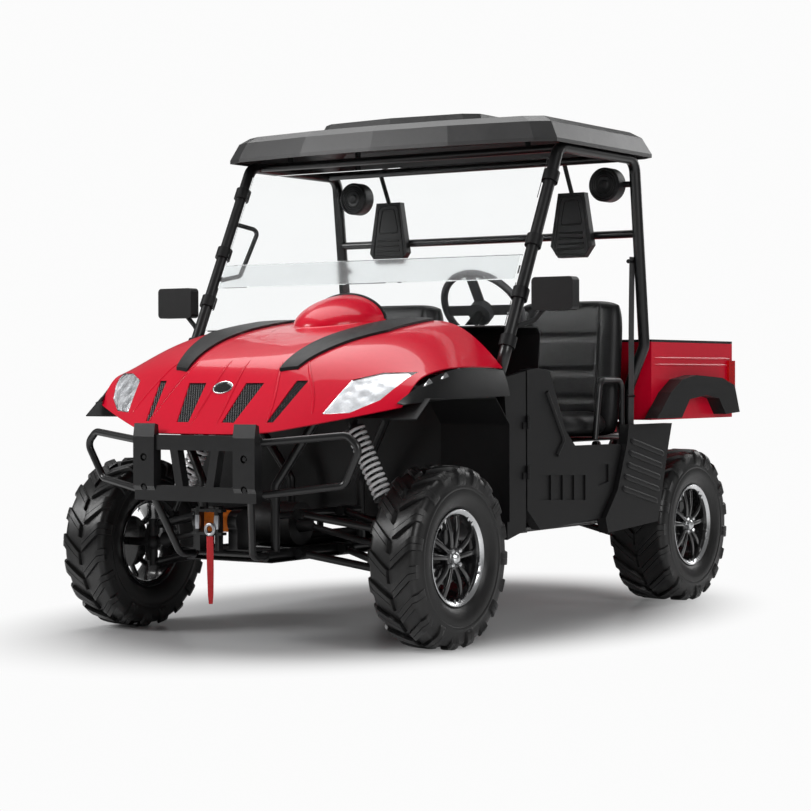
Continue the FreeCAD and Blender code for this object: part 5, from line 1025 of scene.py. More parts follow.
@dataclass
class Shocks(Assembly):
    """Coil springs over dampers at the four wheels."""

    coil_radius: float = 0.0315
    wire: float = 0.0060
    spring_share: float = 0.68
    spring_start: float = 0.028
    steps: int = 26
    cup_radius: float = 0.0365
    eye_radius: float = 0.0139
    eye_half: float = 0.016
    body_share: float = 0.55
    body_radius: float = 0.017
    rod_radius: float = 0.009
    cup_lip: float = 0.004
    cup_foot: float = 0.005
    left: tuple[tuple[Point, Point, int], ...] = (
        ((0.319, -0.88, 0.780), (0.500, -0.88, 0.4285), 13),
        ((0.250, 1.04, 0.6477), (0.352, 1.04, 0.4372), 8),
    )

    def coil(self, top: np.ndarray, way: np.ndarray, length: float, turns: int) -> Shell:
        """A round wire on a helix: centre a + w s + r (e cos p + f sin p), p from 0 to 2 pi turns.

        Args:
            top: where the spring starts.
            way: the damper's direction.
            length: the spring's length.
            turns: how many turns it has.

        Returns:
            The closed wire.
        """
        p = np.linspace(0, FULL_TURN * turns, turns * self.steps)[:, None]
        s = np.linspace(0, length, turns * self.steps)[:, None]
        out = np.cos(p) * Y_AXIS + np.sin(p) * np.cross(way, Y_AXIS)
        q = circle(8)
        middle = top + s * way + self.coil_radius * out
        return Shell.bar(sweep(middle, out, way, self.wire * np.cos(q), self.wire * np.sin(q)))

    def build(self, part: Part) -> None:
        """Builds the springs with their seats, and the dampers with their eyes."""
        springs, dampers = [], []
        for top, foot, turns in self.left:
            a, b = np.array(top), np.array(foot)
            length = float(np.linalg.norm(b - a))
            way = (b - a) / length
            start, run = a + way * self.spring_start, length * self.spring_share
            waist, eye = a + way * length * self.body_share, self.eye_half * Y_AXIS
            springs.append(self.coil(start, way, run, turns))
            rods = (
                (start - way * self.cup_lip, start + way * self.cup_lip, self.cup_radius, 28),
                (start + way * (run - self.cup_lip), start + way * (run + self.cup_foot), self.cup_radius, 28),
                (a, waist, self.body_radius, 24),
                (waist, b, self.rod_radius, 20),
                (a - eye, a + eye, self.eye_radius, 24),
                (b - eye, b + eye, self.eye_radius, 24),
            )
            dampers += [tube([one, other], radius, sides) for one, other, radius, sides in rods]
        both = Shell.joined(springs).both_sides()
        part.finish_piece("coil_springs", both, "spring_coating", replaces=("shock_absorbers",))
        part.finish_piece("spring_dampers", Shell.joined(dampers).both_sides(), "powder_coat")


@dataclass
class Seats(Assembly):
    """Two bucket seats: crowned cushions and backs with bolsters and sewn channels."""

    middle_x: float = 0.422
    half: float = 0.2385
    rows: int = 61
    panel_edge: float = 0.62
    bolster_edge: float = 0.66
    seam_half: float = 0.018
    channel_half: float = 0.022
    seam_depth: float = 0.0055
    pull_in: float = 0.07
    bolster_run: float = 0.07
    crown: float = 0.10
    behind: float = 0.9
    cushion_size: tuple[float, float] = (0.199, 0.048)
    cushion_seams: tuple[float, ...] = (-0.35, 0.2)
    cushion_bolster: float = 0.010
    cushion_place: tuple[float, float] = (0.211, 0.746)
    back_size: tuple[float, float] = (0.272, 0.036)
    back_seams: tuple[float, ...] = (-0.45, -0.05, 0.45)
    back_bolster: float = 0.016
    back_place: tuple[float, float] = (0.488, 0.970)
    back_slope: tuple[float, float] = (0.046, 0.553)

    def pad(self, height: float, thick: float, channels: tuple[float, ...], bolster: float) -> Shell:
        """A closed pad in the XZ plane that faces -Y.

        Its half thickness is thick * ((1 - s^8)(1 - t^8))^0.4, with side bolsters that rise as
        a smooth step of |s| and channels that dip as exp(-(d / w)^2) about their lines.

        Args:
            height: half of its height.
            thick: half of its thickness at the middle.
            channels: where the cross seams lie, from -1 to 1.
            bolster: how far the sides stand out.

        Returns:
            The pad about its own middle.
        """
        line = np.sin(np.linspace(-0.5, 0.5, self.rows) * math.pi)
        s, t = np.meshgrid(line, line, indexing="ij")
        x = self.half * s * (1 - self.pull_in * t ** 6)
        z = height * t * (1 - self.pull_in * s ** 6)
        full = (1 - s ** 8) * (1 - t ** 8)
        body, inside = thick * full ** 0.4, full ** 0.5
        rise = 0.5 + 0.5 * np.tanh((np.abs(s) - self.bolster_edge) / self.bolster_run)
        seams = np.exp(-((np.abs(s) - self.panel_edge) / self.seam_half) ** 2)
        for place in channels:
            channel = np.exp(-((t - place) / self.channel_half) ** 2)
            seams = np.maximum(seams, channel * (np.abs(s) < self.panel_edge))
        crown = 1 + self.crown * (1 - s ** 2) * (1 - t ** 2)
        front = body * crown + inside * (bolster * rise - self.seam_depth * seams)
        grids = [np.stack([x, -front, z], axis=2), np.stack([x, body * self.behind, z], axis=2)[::-1]]
        return Shell.joined([Shell.from_grid(g) for g in grids])

    def build(self, part: Part) -> None:
        """Builds both seats over the CAD node."""
        cushion = self.pad(*self.cushion_size, self.cushion_seams, self.cushion_bolster)
        cushion = cushion.moved(shift(self.middle_x, *self.cushion_place) @ turn("X", math.radians(-90)))
        back = self.pad(*self.back_size, self.back_seams, self.back_bolster)
        back = back.moved(shift(self.middle_x, *self.back_place) @ turn("X", -math.atan2(*self.back_slope)))
        shell = Shell.joined([cushion, back]).both_sides()
        piece = part.finish_piece("bucket_seats", shell, "seat_vinyl", replaces=("seats",), crease_angle=50.0)


@dataclass
class Belts(Assembly):
    """A flat seat belt on each rear pillar with its guide and its tongue."""

    outer: float = 0.6991
    width: float = 0.046
    thick: float = 0.0022
    foot_y: float = 0.507
    foot_z: float = 0.6945
    rise: float = 0.7185
    lean: float = 0.018
    bow: float = 0.003
    sway: float = 0.004
    guide: Point = (0.6931, 0.524625, 1.395)
    guide_radius: float = 0.0084
    tongue: Point = (0.6931, 0.51125, 0.86)
    tongue_radius: float = 0.0063
    fitting_half: float = 0.030

    def build(self, part: Part) -> None:
        """Builds the webbing over the CAD node, and the two fittings on it."""
        t = np.linspace(0, 1, 60)
        x = self.outer - self.thick - self.bow * np.sin(math.pi * t) ** 2
        y = self.foot_y + self.lean * t + self.sway * np.sin(5 * t)
        middle = np.stack([x, y, self.foot_z + self.rise * t], axis=1)
        wide, deep = rounded(20, 0.5 * self.width, 0.5 * self.thick, (0.3, 0.8))
        web = Shell.bar(sweep(middle, Y_AXIS, X_AXIS, wide, deep)).both_sides()
        part.finish_piece("seat_belt_webbing", web, "belt_webbing", replaces=("seat_belts",))
        fittings = []
        for place, radius in ((self.guide, self.guide_radius), (self.tongue, self.tongue_radius)):
            ends = [place + way * self.fitting_half * Y_AXIS for way in (-1, 1)]
            fittings.append(tube(ends, radius, 16))
        part.finish_piece("belt_fittings", Shell.joined(fittings).both_sides(), "black_moulding")


@dataclass
class Headlamps(Assembly):
    """Bright faceted reflectors just under the two clear lenses."""

    depth: float = 0.007
    most_y: float = -0.45
    least_z: float = 0.2

    def build(self, part: Part) -> None:
        """Builds the reflectors: the lenses' outer faces moved inwards along their normals."""
        points, corners = node_mesh(part.nodes["headlamps"])
        corners = points[corners]
        across = np.cross(corners[:, 1] - corners[:, 0], corners[:, 2] - corners[:, 0])
        size = np.linalg.norm(across, axis=1)
        normal = across / np.maximum(size, 1e-12)[:, None]
        outer = (normal[:, 1] < self.most_y) & (normal[:, 2] > self.least_z) & (size > 1e-9)
        sheet = (corners - self.depth * normal[:, None, :])[outer].reshape(-1, 3)
        shell = Shell.from_triangles(sheet, np.arange(len(sheet)).reshape(-1, 3), sheet[:, [0, 2]] * 4.0 % 1.0)
        part.finish_piece("headlamp_reflectors", shell, "lamp_reflector", heal=False, crease_angle=50.0)


@dataclass
class WindshieldBand(Assembly):
    """The pale band where the two panes lap: a thin sheet on the upper pane's lower edge."""

    foot: Point = (0.0, -0.504, 1.016)
    lean: float = math.radians(26.8)
    half: float = 0.684
    low: float = 0.309
    high: float = 0.412
    face: float = 0.0081
    thick: float = 0.0006

    def build(self, part: Part) -> None:
        """Builds the band: straight sections of a rounded rectangle along X."""
        up = np.array([0.0, math.sin(self.lean), math.cos(self.lean)])
        out = np.array([0.0, -math.cos(self.lean), math.sin(self.lean)])
        deep, tall = rounded(24, 0.5 * self.thick, 0.5 * (self.high - self.low), (0.6, 0.3))
        middle = self.foot + np.linspace(-self.half, self.half, 12)[:, None] * X_AXIS
        along, above = 0.5 * (self.low + self.high) + tall, self.face + 0.5 * self.thick + deep
        part.finish_piece("windshield_lap_band", Shell.bar(sweep(middle, up, out, along, above)), "frosted_band")


@dataclass
class NoseBadge(Assembly):
    """A blank oval badge on the nose, a dark field in a bright ring."""

    centre: Point = (-0.002, -1.2065, 0.9025)
    normal: Point = (0.0, -0.751, 0.660)
    half_wide: float = 0.043
    half_tall: float = 0.029
    low: float = -0.004

    def plate(self, high: float, inner: float, outer: float) -> Shell:
        """An oval ring or plate: a section of height and share turned round the ellipse.

        Args:
            high: the top's height.
            inner: the inner share of the ellipse.
            outer: the outer share.

        Returns:
            The closed surface.
        """
        place = shift(*self.centre)
        across = self.half_tall * np.cross(self.normal, X_AXIS)
        place[:3, :3] = np.stack([self.normal, across, self.half_wide * X_AXIS], axis=1)
        return revolve([
            (self.low, inner), (self.low, outer), (0.6 * high, outer), (0.9 * high, outer - 0.03),
            (high, 0.5 * (inner + outer)), (0.9 * high, inner + 0.02), (0.6 * high, inner),
        ], 64).moved(place)

    def build(self, part: Part) -> None:
        """Builds the field and the ring."""
        plate = self.plate(0.0022, 0.02, 0.9)
        part.finish_piece("nose_badge_field", plate, "gloss_black_alloy", slot="black_plastic")
        part.finish_piece("nose_badge_ring", self.plate(0.0040, 0.88, 1.0), "machined_alloy")


@dataclass
class PodGrilles(Assembly):
    """Ringed fronts on the two pods under the roof."""

    x: float = 0.608
    face_y: float = 0.452
    z: float = 1.700
    front: Profile = (
        (-0.002, 0.0668), (0.0045, 0.0655), (0.0060, 0.0610), (0.0045, 0.0565), (0.0015, 0.0540), (0.0040, 0.0500),
        (0.0040, 0.0480), (0.0015, 0.0450), (0.0035, 0.0415), (0.0035, 0.0395), (0.0010, 0.0360), (0.0030, 0.0320),
        (0.0010, 0.0250), (0.0010, 0.0200), (0.0055, 0.0150), (0.0070, 0.0005), (-0.002, 0.0005),
    )
    ring: Profile = ((0.0046, 0.0612), (0.0072, 0.0606), (0.0072, 0.0588), (0.0046, 0.0580))
    steps: int = 48

    def build(self, part: Part) -> None:
        """Builds dished fronts with raised rings, and a bright ring on each: sections turned about Y."""
        places = [shift(s * self.x, self.face_y, self.z) for s in (-1, 1)]
        for name, profile, paint in (
            ("pod_grilles", self.front, "black_moulding"), ("pod_rings", self.ring, "cast_iron"),
        ):
            facing = revolve(profile, self.steps).moved(turn("Z", -math.pi / 2))
            part.finish_piece(name, facing.copies(places), paint)


@dataclass
class HeadrestRibs(Assembly):
    """Raised outlines and cross ribs on the faces of the two headrests."""

    x: float = 0.444
    face_y: float = 0.4765
    low_z: float = 1.430
    high_z: float = 1.662
    half_low: float = 0.080
    half_high: float = 0.049
    rim_bead: float = 0.0038
    rib_bead: float = 0.0042
    inner_bead: float = 0.0032
    inner_share: Point = (0.62, 1.0, 0.42)
    inner_rise: float = 0.052
    rib_count: int = 4
    first_rib: tuple[float, float] = (0.022, 0.020)
    next_rib: tuple[float, float] = (0.02125, 0.0025)

    def build(self, part: Part) -> None:
        """Builds a closed bead round each face, a smaller one inside it and four ribs below that."""
        corners = [
            (-self.half_low, self.low_z), (self.half_low, self.low_z), (self.half_high, self.high_z),
            (-self.half_high, self.high_z),
        ]
        loop = outline(corners, (0.08, 0.08), 8, self.face_y)
        shells = [tube(loop, self.rim_bead, 10, closed=True)]
        for step in range(self.rib_count):
            up, cut = (a + step * b for a, b in zip(self.first_rib, self.next_rib))
            z, half = self.low_z + up, self.half_low - cut
            shells.append(tube([(-half, self.face_y, z), (half, self.face_y, z)], self.rib_bead, 12))
        middle = 0.5 * (self.low_z + self.high_z)
        inner = loop * self.inner_share + ((1.0 - self.inner_share[2]) * middle + self.inner_rise) * Z_AXIS
        shells.append(tube(inner, self.inner_bead, 10, closed=True))
        both = Shell.joined(shells).copies([shift(s * self.x, 0, 0) for s in (-1, 1)])
        part.finish_piece("headrest_ribs", both, "black_moulding")


@dataclass
class Fasteners(Assembly):
    """Bolts in the bumper's posts and bright roller sleeves on the winch's fairlead."""

    post_x: float = 0.221
    post_face: float = -1.3685
    heights: tuple[float, float] = (0.557, 0.662)
    roller_x: tuple[float, float] = (-0.054, 0.030)
    roller: Point = (0.0, -1.284, 0.437)
    roller_half: float = 0.036
    roller_radius: float = 0.0096
    roller_crown: float = 0.0012
    head: Profile = (
        (-0.002, 0.0005), (-0.002, 0.0112), (0.0005, 0.0118), (0.0007, 0.0092), (0.0050, 0.0092), (0.0062, 0.0078),
        (0.0064, 0.0005),
    )

    def build(self, part: Part) -> None:
        """Builds hex heads as six-sided turned sections, and the sleeves as tubes."""
        head = revolve(self.head, 6).moved(turn("Z", -math.pi / 2))
        places = [shift(s * self.post_x, self.post_face, z) for s in (-1, 1) for z in self.heights]
        part.finish_piece("bumper_bolts", head.copies(places), "powder_coat")
        t = np.linspace(-1, 1, 9)
        path = self.roller + self.roller_half * t[:, None] * Z_AXIS
        sleeve = tube(path, self.roller_radius + self.roller_crown * np.cos(math.pi * t), 24)
        sleeves = sleeve.copies([shift(x, 0, 0) for x in self.roller_x])
        part.finish_piece("fairlead_roller_sleeves", sleeves, "zinc_plate")


@dataclass
class HoodScoop(Assembly):
    """The hood with a short round scoop: the CAD skin without its scoop, and a domed cover over the gap."""

    half_wide: float = 0.172
    cad_length: float = 0.460
    length: float = 0.250
    rear: float = -0.456
    height: float = 0.1004
    foot: float = 0.007
    foot_run: float = 0.030
    overlap: float = 1.035
    thick: float = 0.0035
    sunk: float = 0.0015
    skin_y: tuple[float, ...] = (-0.950, -0.930, -0.900, -0.800, -0.700, -0.600, -0.500, -0.456)
    skin_z: tuple[float, ...] = (1.0626, 1.0686, 1.0766, 1.0998, 1.1181, 1.1328, 1.1452, 1.1500)

    def skin(self, y: np.ndarray) -> np.ndarray:
        """The hood's height on its middle line."""
        return np.interp(y, self.skin_y, self.skin_z)

    def dome(self, p: np.ndarray) -> np.ndarray:
        """The dome's height over the skin, f + (h - f)(1 - p^2)^0.6, at a share p of its half width."""
        return self.foot + (self.height - self.foot) * (1 - p ** 2) ** 0.6

    def flat_hood(self, hood: bpy.types.Object) -> Shell:
        """The CAD hood with its scoop pressed down into the skin."""
        points, corners = node_mesh(hood)
        x, y, z = points.T
        inside = (x / self.half_wide) ** 2 + ((y - self.rear) / self.cad_length) ** 2 < 1.06
        level = self.skin(y)
        points[:, 2] = np.where(inside & (z > level + 0.0008), level - self.sunk, z)
        return Shell.from_triangles(points, corners, points[:, :2] % 1.0)

    def cover(self, rows: int = 97, inner_columns: int = 40, outer_columns: int = 22) -> Shell:
        """The dome and its foot over the gap.

        Inside its half ellipse the dome stands on the skin; outside it the cover falls as
        f (1 - s)^3 over 30 mm and dips under the skin at the outer edge.

        Args:
            rows: how many rays go out from the middle.
            inner_columns: how many points a ray has on the dome.
            outer_columns: how many it has from the dome to the outer edge.

        Returns:
            The closed thin shell.
        """
        a = np.linspace(0, math.pi, rows)[:, None]
        p = np.sin(np.linspace(0, 0.5 * math.pi, inner_columns))[None, :]
        s = np.linspace(0, 1, outer_columns)[None, 1:]
        near = np.stack([self.half_wide * np.cos(a), self.rear - self.length * np.sin(a)], axis=2)
        wide, long = self.overlap * self.half_wide, self.overlap * self.cad_length
        far = np.stack([wide * np.cos(a), self.rear - long * np.sin(a)], axis=2)
        middle = np.array([0.0, self.rear])
        inner = middle + p[..., None] * (near - middle)
        outer = near + (s ** 1.6)[..., None] * (far - near)
        away = np.linalg.norm(outer - near, axis=2)
        dome = np.broadcast_to(self.dome(p), inner.shape[:2])
        slope = self.foot * np.clip(1 - away / self.foot_run, 0, 1) ** 3 + 0.0007 - 0.0024 * s ** 8
        flat = np.concatenate([inner, outer], axis=1)
        top = self.skin(flat[..., 1]) + np.concatenate([dome, slope], axis=1)
        upper = np.concatenate([flat, top[..., None]], axis=2)
        lower = upper - self.thick * Z_AXIS
        edges = ((upper[:, -1], lower[:, -1]), (upper[0], lower[0]), (upper[-1], lower[-1]))
        return Shell.joined([Shell.from_grid(grid) for grid in [upper, lower] + [np.stack(e) for e in edges]])

    def build(self, part: Part) -> None:
        """Builds the hood and the scoop's cover."""
        flat = self.flat_hood(part.nodes["hood"])
        part.finish_piece("hood_skin", flat, "red_body_gloss", replaces=("hood",), crease_angle=28.0)
        part.finish_piece("hood_scoop_cover", self.cover(), "red_body_gloss", crease_angle=50.0)


@dataclass
class ScoopLip(Assembly):
    """The black edge round the scoop's rear opening."""

    radius: float = 0.0075
    steps: int = 61
    sunk: float = 0.001
    behind: float = 0.002

    def build(self, part: Part) -> None:
        """Builds a tube along the dome's rear arc."""
        scoop = HoodScoop()
        p = np.sin(np.linspace(-0.5 * math.pi, 0.5 * math.pi, self.steps))
        z = scoop.skin_z[-1] + scoop.dome(p) - self.sunk
        path = np.stack([scoop.half_wide * p, np.full(self.steps, scoop.rear + self.behind), z], axis=1)
        part.finish_piece("hood_scoop_lip", tube(path, self.radius, 14), "black_moulding")


@dataclass
class NoseMesh(Assembly):
    """Crossed wires on the mesh plates behind the nose's four slots."""

    half: float = 0.43
    low_z: float = 0.775
    high_z: float = 0.950
    pitch: float = 0.010
    wire: float = 0.0012
    slope: float = 0.62
    out: Point = (0.0, -0.75, 0.66)
    face_y: float = -1.235
    face_z: float = 0.861
    face_slope: float = 0.88
    start: float = 0.06
    lift: float = 0.0009

    def build(self, part: Part) -> None:
        """Lays slanted wires on the plates, one set each way, wherever a plate lies below.

        A wire's points are (x0 + s * t, t) for the heights t; each drops onto the plate along the
        nose's normal, and the wire keeps its first run of points that meet the plate.
        """
        plates, out = part.nodes["hood_grilles"], Vector(self.out)
        heights = np.linspace(self.low_z, self.high_z, 26)
        shells = []
        for slope in (-self.slope, self.slope):
            for start in np.arange(-self.half, self.half, self.pitch):
                places = []
                for z in heights:
                    x = float(start + slope * (z - 0.5 * (self.low_z + self.high_z)))
                    point = Vector((x, self.face_y - (self.face_z - z) * self.face_slope, z)) + self.start * out
                    met = cast(plates, point, -out, 2 * self.start)
                    places.append(tuple(met[0] + self.lift * out) if met else None)
                run = first_run(places, 2)
                if len(run) > 2:
                    shells.append(tube(run, self.wire, 6))
        part.finish_piece("nose_mesh_wires", Shell.joined(shells), "mesh_wire")


@dataclass
class PanelRibs(Assembly):
    """Stepped ribs across the side panels behind the doors."""

    heights: tuple[float, ...] = (0.470, 0.520, 0.570, 0.620, 0.670)
    reach_y: tuple[float, float, float] = (0.32, 0.95, 0.008)
    level_y: float = 0.5
    slant: float = -0.22
    inset: int = 3
    height: float = 0.0055
    width: float = 0.012
    fewest: int = 12
    flat_x: float = 0.735
    flat_normal: float = 0.95

    def on_panel(self, panel: bpy.types.Object, y: float, z: float) -> Point | None:
        """The place on the panel's flat outer face beside a point, if the face reaches it."""
        met = cast(panel, (1.2, y, z), (-1.0, 0.0, 0.0))
        return tuple(met[0]) if met and met[0].x > self.flat_x and met[1].x > self.flat_normal else None

    def build(self, part: Part) -> None:
        """Lays each rib on the panel's outer face as far as the face reaches, less a small inset.

        A rib's section is (w cos a, h sin^0.6 a), cut off 0.4 h under the face; it slants by slant * y.
        """
        panel = part.nodes["side_panels"]
        wide, lift = rounded(16, self.width, 1.0, (1.0, 0.6))
        lift = np.maximum(lift, -0.4) * self.height
        shells = []
        for height in self.heights:
            line = [(y, height + self.slant * (y - self.level_y)) for y in np.arange(*self.reach_y)]
            run = first_run((self.on_panel(panel, y, z) for y, z in line), 0)
            if len(run) < self.fewest:
                continue
            middle = np.array(run)[self.inset:-self.inset]
            fade = faded(len(middle), 2.0, 0.3)[:, None]
            shells.append(Shell.bar(sweep(middle, X_AXIS, Z_AXIS, fade * lift, fade * wide)))
        part.finish_piece("side_panel_ribs", Shell.joined(shells).both_sides(), "black_moulding")


@dataclass
class BedPressings(Assembly):
    """Pressed lines along the bed's sides, a pressed frame on the tailgate and its latch handle."""

    side_x: float = 0.7350
    side_z: tuple[float, float] = (1.012, 0.985)
    side_y: tuple[float, float] = (0.640, 1.335)
    gate_half: float = 0.560
    gate_z: tuple[float, float] = (0.845, 1.025)
    gate_face: float = 1.362
    bead: float = 0.0045
    corner_cut: float = 0.018
    upright_x: float = 0.28
    upright_cut: float = 0.02
    handle_radius: float = 0.0055
    handle_bend: Profile = ((0.05, 0.0075), (0.072, 0.006), (0.075, -0.002))

    def build(self, part: Part) -> None:
        """Builds round beads half sunk in the bed's sides and in the tailgate's outer face."""
        y = np.linspace(*self.side_y, 40)
        fade = self.bead * faded(40, 3.0, 0.35)
        lines = [np.stack([np.full(40, self.side_x), y, np.full(40, z)], axis=1) for z in self.side_z]
        sides = Shell.joined([tube(line, fade, 12) for line in lines]).both_sides()
        part.finish_piece("bed_side_pressings", sides, "red_body_gloss", "cargo_bed")
        low, high, half = *self.gate_z, self.gate_half
        middle = 0.5 * (low + high)
        met = cast(part.nodes["tailgate"], (0.2, 2.0, middle), (0.0, -1.0, 0.0))
        face = met[0].y if met else self.gate_face
        shares = (self.corner_cut / (2 * half), self.corner_cut / (high - low))
        frame = outline([(-half, low), (half, low), (half, high), (-half, high)], shares, 24, face)
        places = (low + self.upright_cut, middle, high - self.upright_cut)
        uprights = [[(way * self.upright_x, face, z) for z in places] for way in (-1, 1)]
        pressed = [tube(frame, self.bead, 12, closed=True)] + [tube(path, self.bead, 12) for path in uprights]
        part.finish_piece("tailgate_pressings", Shell.joined(pressed), "red_body_gloss", "tailgate")
        right = [(x, face + out, middle) for x, out in self.handle_bend]
        bow = smooth_path([(-x, y, z) for x, y, z in right[::-1]] + right, 30)
        part.finish_piece("tailgate_latch_handle", tube(bow, self.handle_radius, 14), "black_moulding", "tailgate")


@dataclass
class HoodCreases(Assembly):
    """Raised lines that run up the nose between and beside the four slots."""

    lines: tuple[tuple[Point, ...], ...] = (
        ((0.2615, -1.306, 0.779), (0.245, -1.24, 0.858), (0.215, -1.175, 0.935), (0.185, -1.10, 0.993)),
        ((0.056, -1.319, 0.777), (0.050, -1.25, 0.855), (0.044, -1.18, 0.935), (0.040, -1.10, 1.000)),
        ((0.400, -1.230, 0.812), (0.372, -1.18, 0.880), (0.325, -1.135, 0.945), (0.285, -1.08, 0.990)),
    )
    height: float = 0.0035
    width: float = 0.0065
    out: Point = (0.0, -0.72, 0.69)

    def bead(self, hood: bpy.types.Object, line: list[Point]) -> Shell:
        """A low rounded bead on the hood's skin along one line.

        The line's points drop onto the skin along the nose's normal; the bead's section is half an
        ellipse of the stated width and height that fades to nothing at both ends.

        Args:
            hood: the CAD node.
            line: the line's corners.

        Returns:
            The closed bead.
        """
        rows, out = [], Vector(self.out)
        for point in smooth_path(line, 40):
            place, normal = cast(hood, Vector(point) + 0.2 * out, -out) or (point, out)
            rows.append((*place, *normal))
        middle, normal = np.hsplit(np.array(rows), 2)
        side = unit(np.cross(unit(np.gradient(middle, axis=0)), normal))
        fade = np.sin(np.linspace(0, math.pi, 40))[:, None] ** 0.4
        wide, tall = rounded(16, self.width, 1.0, (1.0, 1.0))
        return Shell.bar(sweep(middle, side, normal, fade * wide, fade * np.maximum(tall, -0.4) * self.height))

    def build(self, part: Part) -> None:
        """Lays the beads on both sides of the hood."""
        hood = part.nodes["hood"]
        beads = [self.bead(hood, [(way * x, y, z) for x, y, z in line]) for line in self.lines for way in (1.0, -1.0)]
        part.finish_piece("hood_crease_beads", Shell.joined(beads), "red_body_gloss")


@dataclass
class FenderWedges(Assembly):
    """Three small bright wedge marks on each front fender."""

    places: tuple[tuple[Point, Point], ...] = (
        ((0.705, -0.985, 0.915), (0.81, -0.34, 0.48)),
        ((0.7185, -0.900, 0.938), (0.89, -0.18, 0.41)),
        ((0.719, -0.815, 0.955), (0.90, -0.10, 0.41)),
    )
    length: float = 0.046
    half: float = 0.009
    tip: float = 0.0004
    way: Point = (0.0, -0.93, -0.36)
    section: Profile = ((-1.0, -0.25), (1.0, -0.25), (1.0, 0.12), (0.0, 0.35), (-1.0, 0.12))

    def build(self, part: Part) -> None:
        """Builds each wedge as a closed bar with a ridge that tapers to a point."""
        bars = []
        t = np.linspace(0, 1, 8)[:, None]
        across, above = np.array(self.section).T
        wide = self.half * (1 - t) ** 0.8 + self.tip
        for place, normal in self.places:
            n, e = unit(np.array(normal)), np.array(self.way)
            e = unit(e - (e @ n) * n)
            middle = np.array(place) + (t - 0.5) * self.length * e
            bars.append(Shell.bar(sweep(middle, np.cross(n, e), n, wide * across, above * self.half)))
        part.finish_piece("fender_wedge_marks", Shell.joined(bars).both_sides(), "machined_alloy")


@dataclass
class WinchStrap(Assembly):
    """The red pull strap under the winch hook, a flat web on a hanging line."""

    width: float = 0.024
    thick: float = 0.0022
    first_twist: float = 0.5
    more_twist: float = 0.9
    tapered: float = 0.25
    taper_from: float = 0.9
    points: tuple[Point, ...] = (
        (0.0120, -1.2993, 0.3887),
        (0.0141, -1.3014, 0.3284),
        (0.0197, -1.3070, 0.2681),
        (0.0232, -1.3105, 0.2101),
        (0.0260, -1.3133, 0.1567),
    )

    def line(self) -> np.ndarray:
        """The hanging line's points from the hook to the free end, read from the spline."""
        curve = bpy.data.curves.new("strap_route", "CURVE")
        curve.dimensions = "3D"
        spline = curve.splines.new("NURBS")
        spline.points.add(len(self.points) - 1)
        for place, point in zip(spline.points, self.points):
            place.co = (*point, 1.0)
        spline.order_u = 3
        spline.use_endpoint_u = True
        spline.resolution_u = 12
        holder = bpy.data.objects.new("strap_route", curve)
        bpy.context.scene.collection.objects.link(holder)
        bpy.context.view_layer.update()
        mesh = bpy.data.meshes.new_from_object(holder)
        points = np.empty(len(mesh.vertices) * 3)
        mesh.vertices.foreach_get("co", points)
        bpy.data.objects.remove(holder)
        bpy.data.meshes.remove(mesh)
        return points.reshape(-1, 3)

    def build(self, part: Part) -> None:
        """Builds the strap: a thin rounded rectangle carried along the line, twisted a little."""
        line = self.line()
        share = np.linspace(0, 1, len(line))
        twist = self.first_twist + self.more_twist * share
        ahead = unit(np.gradient(line, axis=0))
        side = np.stack([np.cos(twist), np.sin(twist), np.zeros(len(line))], axis=1)
        side = unit(side - (side * ahead).sum(axis=1, keepdims=True) * ahead)
        taper = 1.0 - self.tapered * np.clip((share - self.taper_from) / (1 - self.taper_from), 0, 1)
        wide, deep = rounded(20, 0.5 * self.width, 0.5 * self.thick, (0.35, 0.8))
        shell = Shell.bar(sweep(line, side, np.cross(ahead, side), taper[:, None] * wide, deep))
        piece = part.finish_piece("winch_pull_strap", shell, "strap_webbing", replaces=("winch_strap",))


# Studio


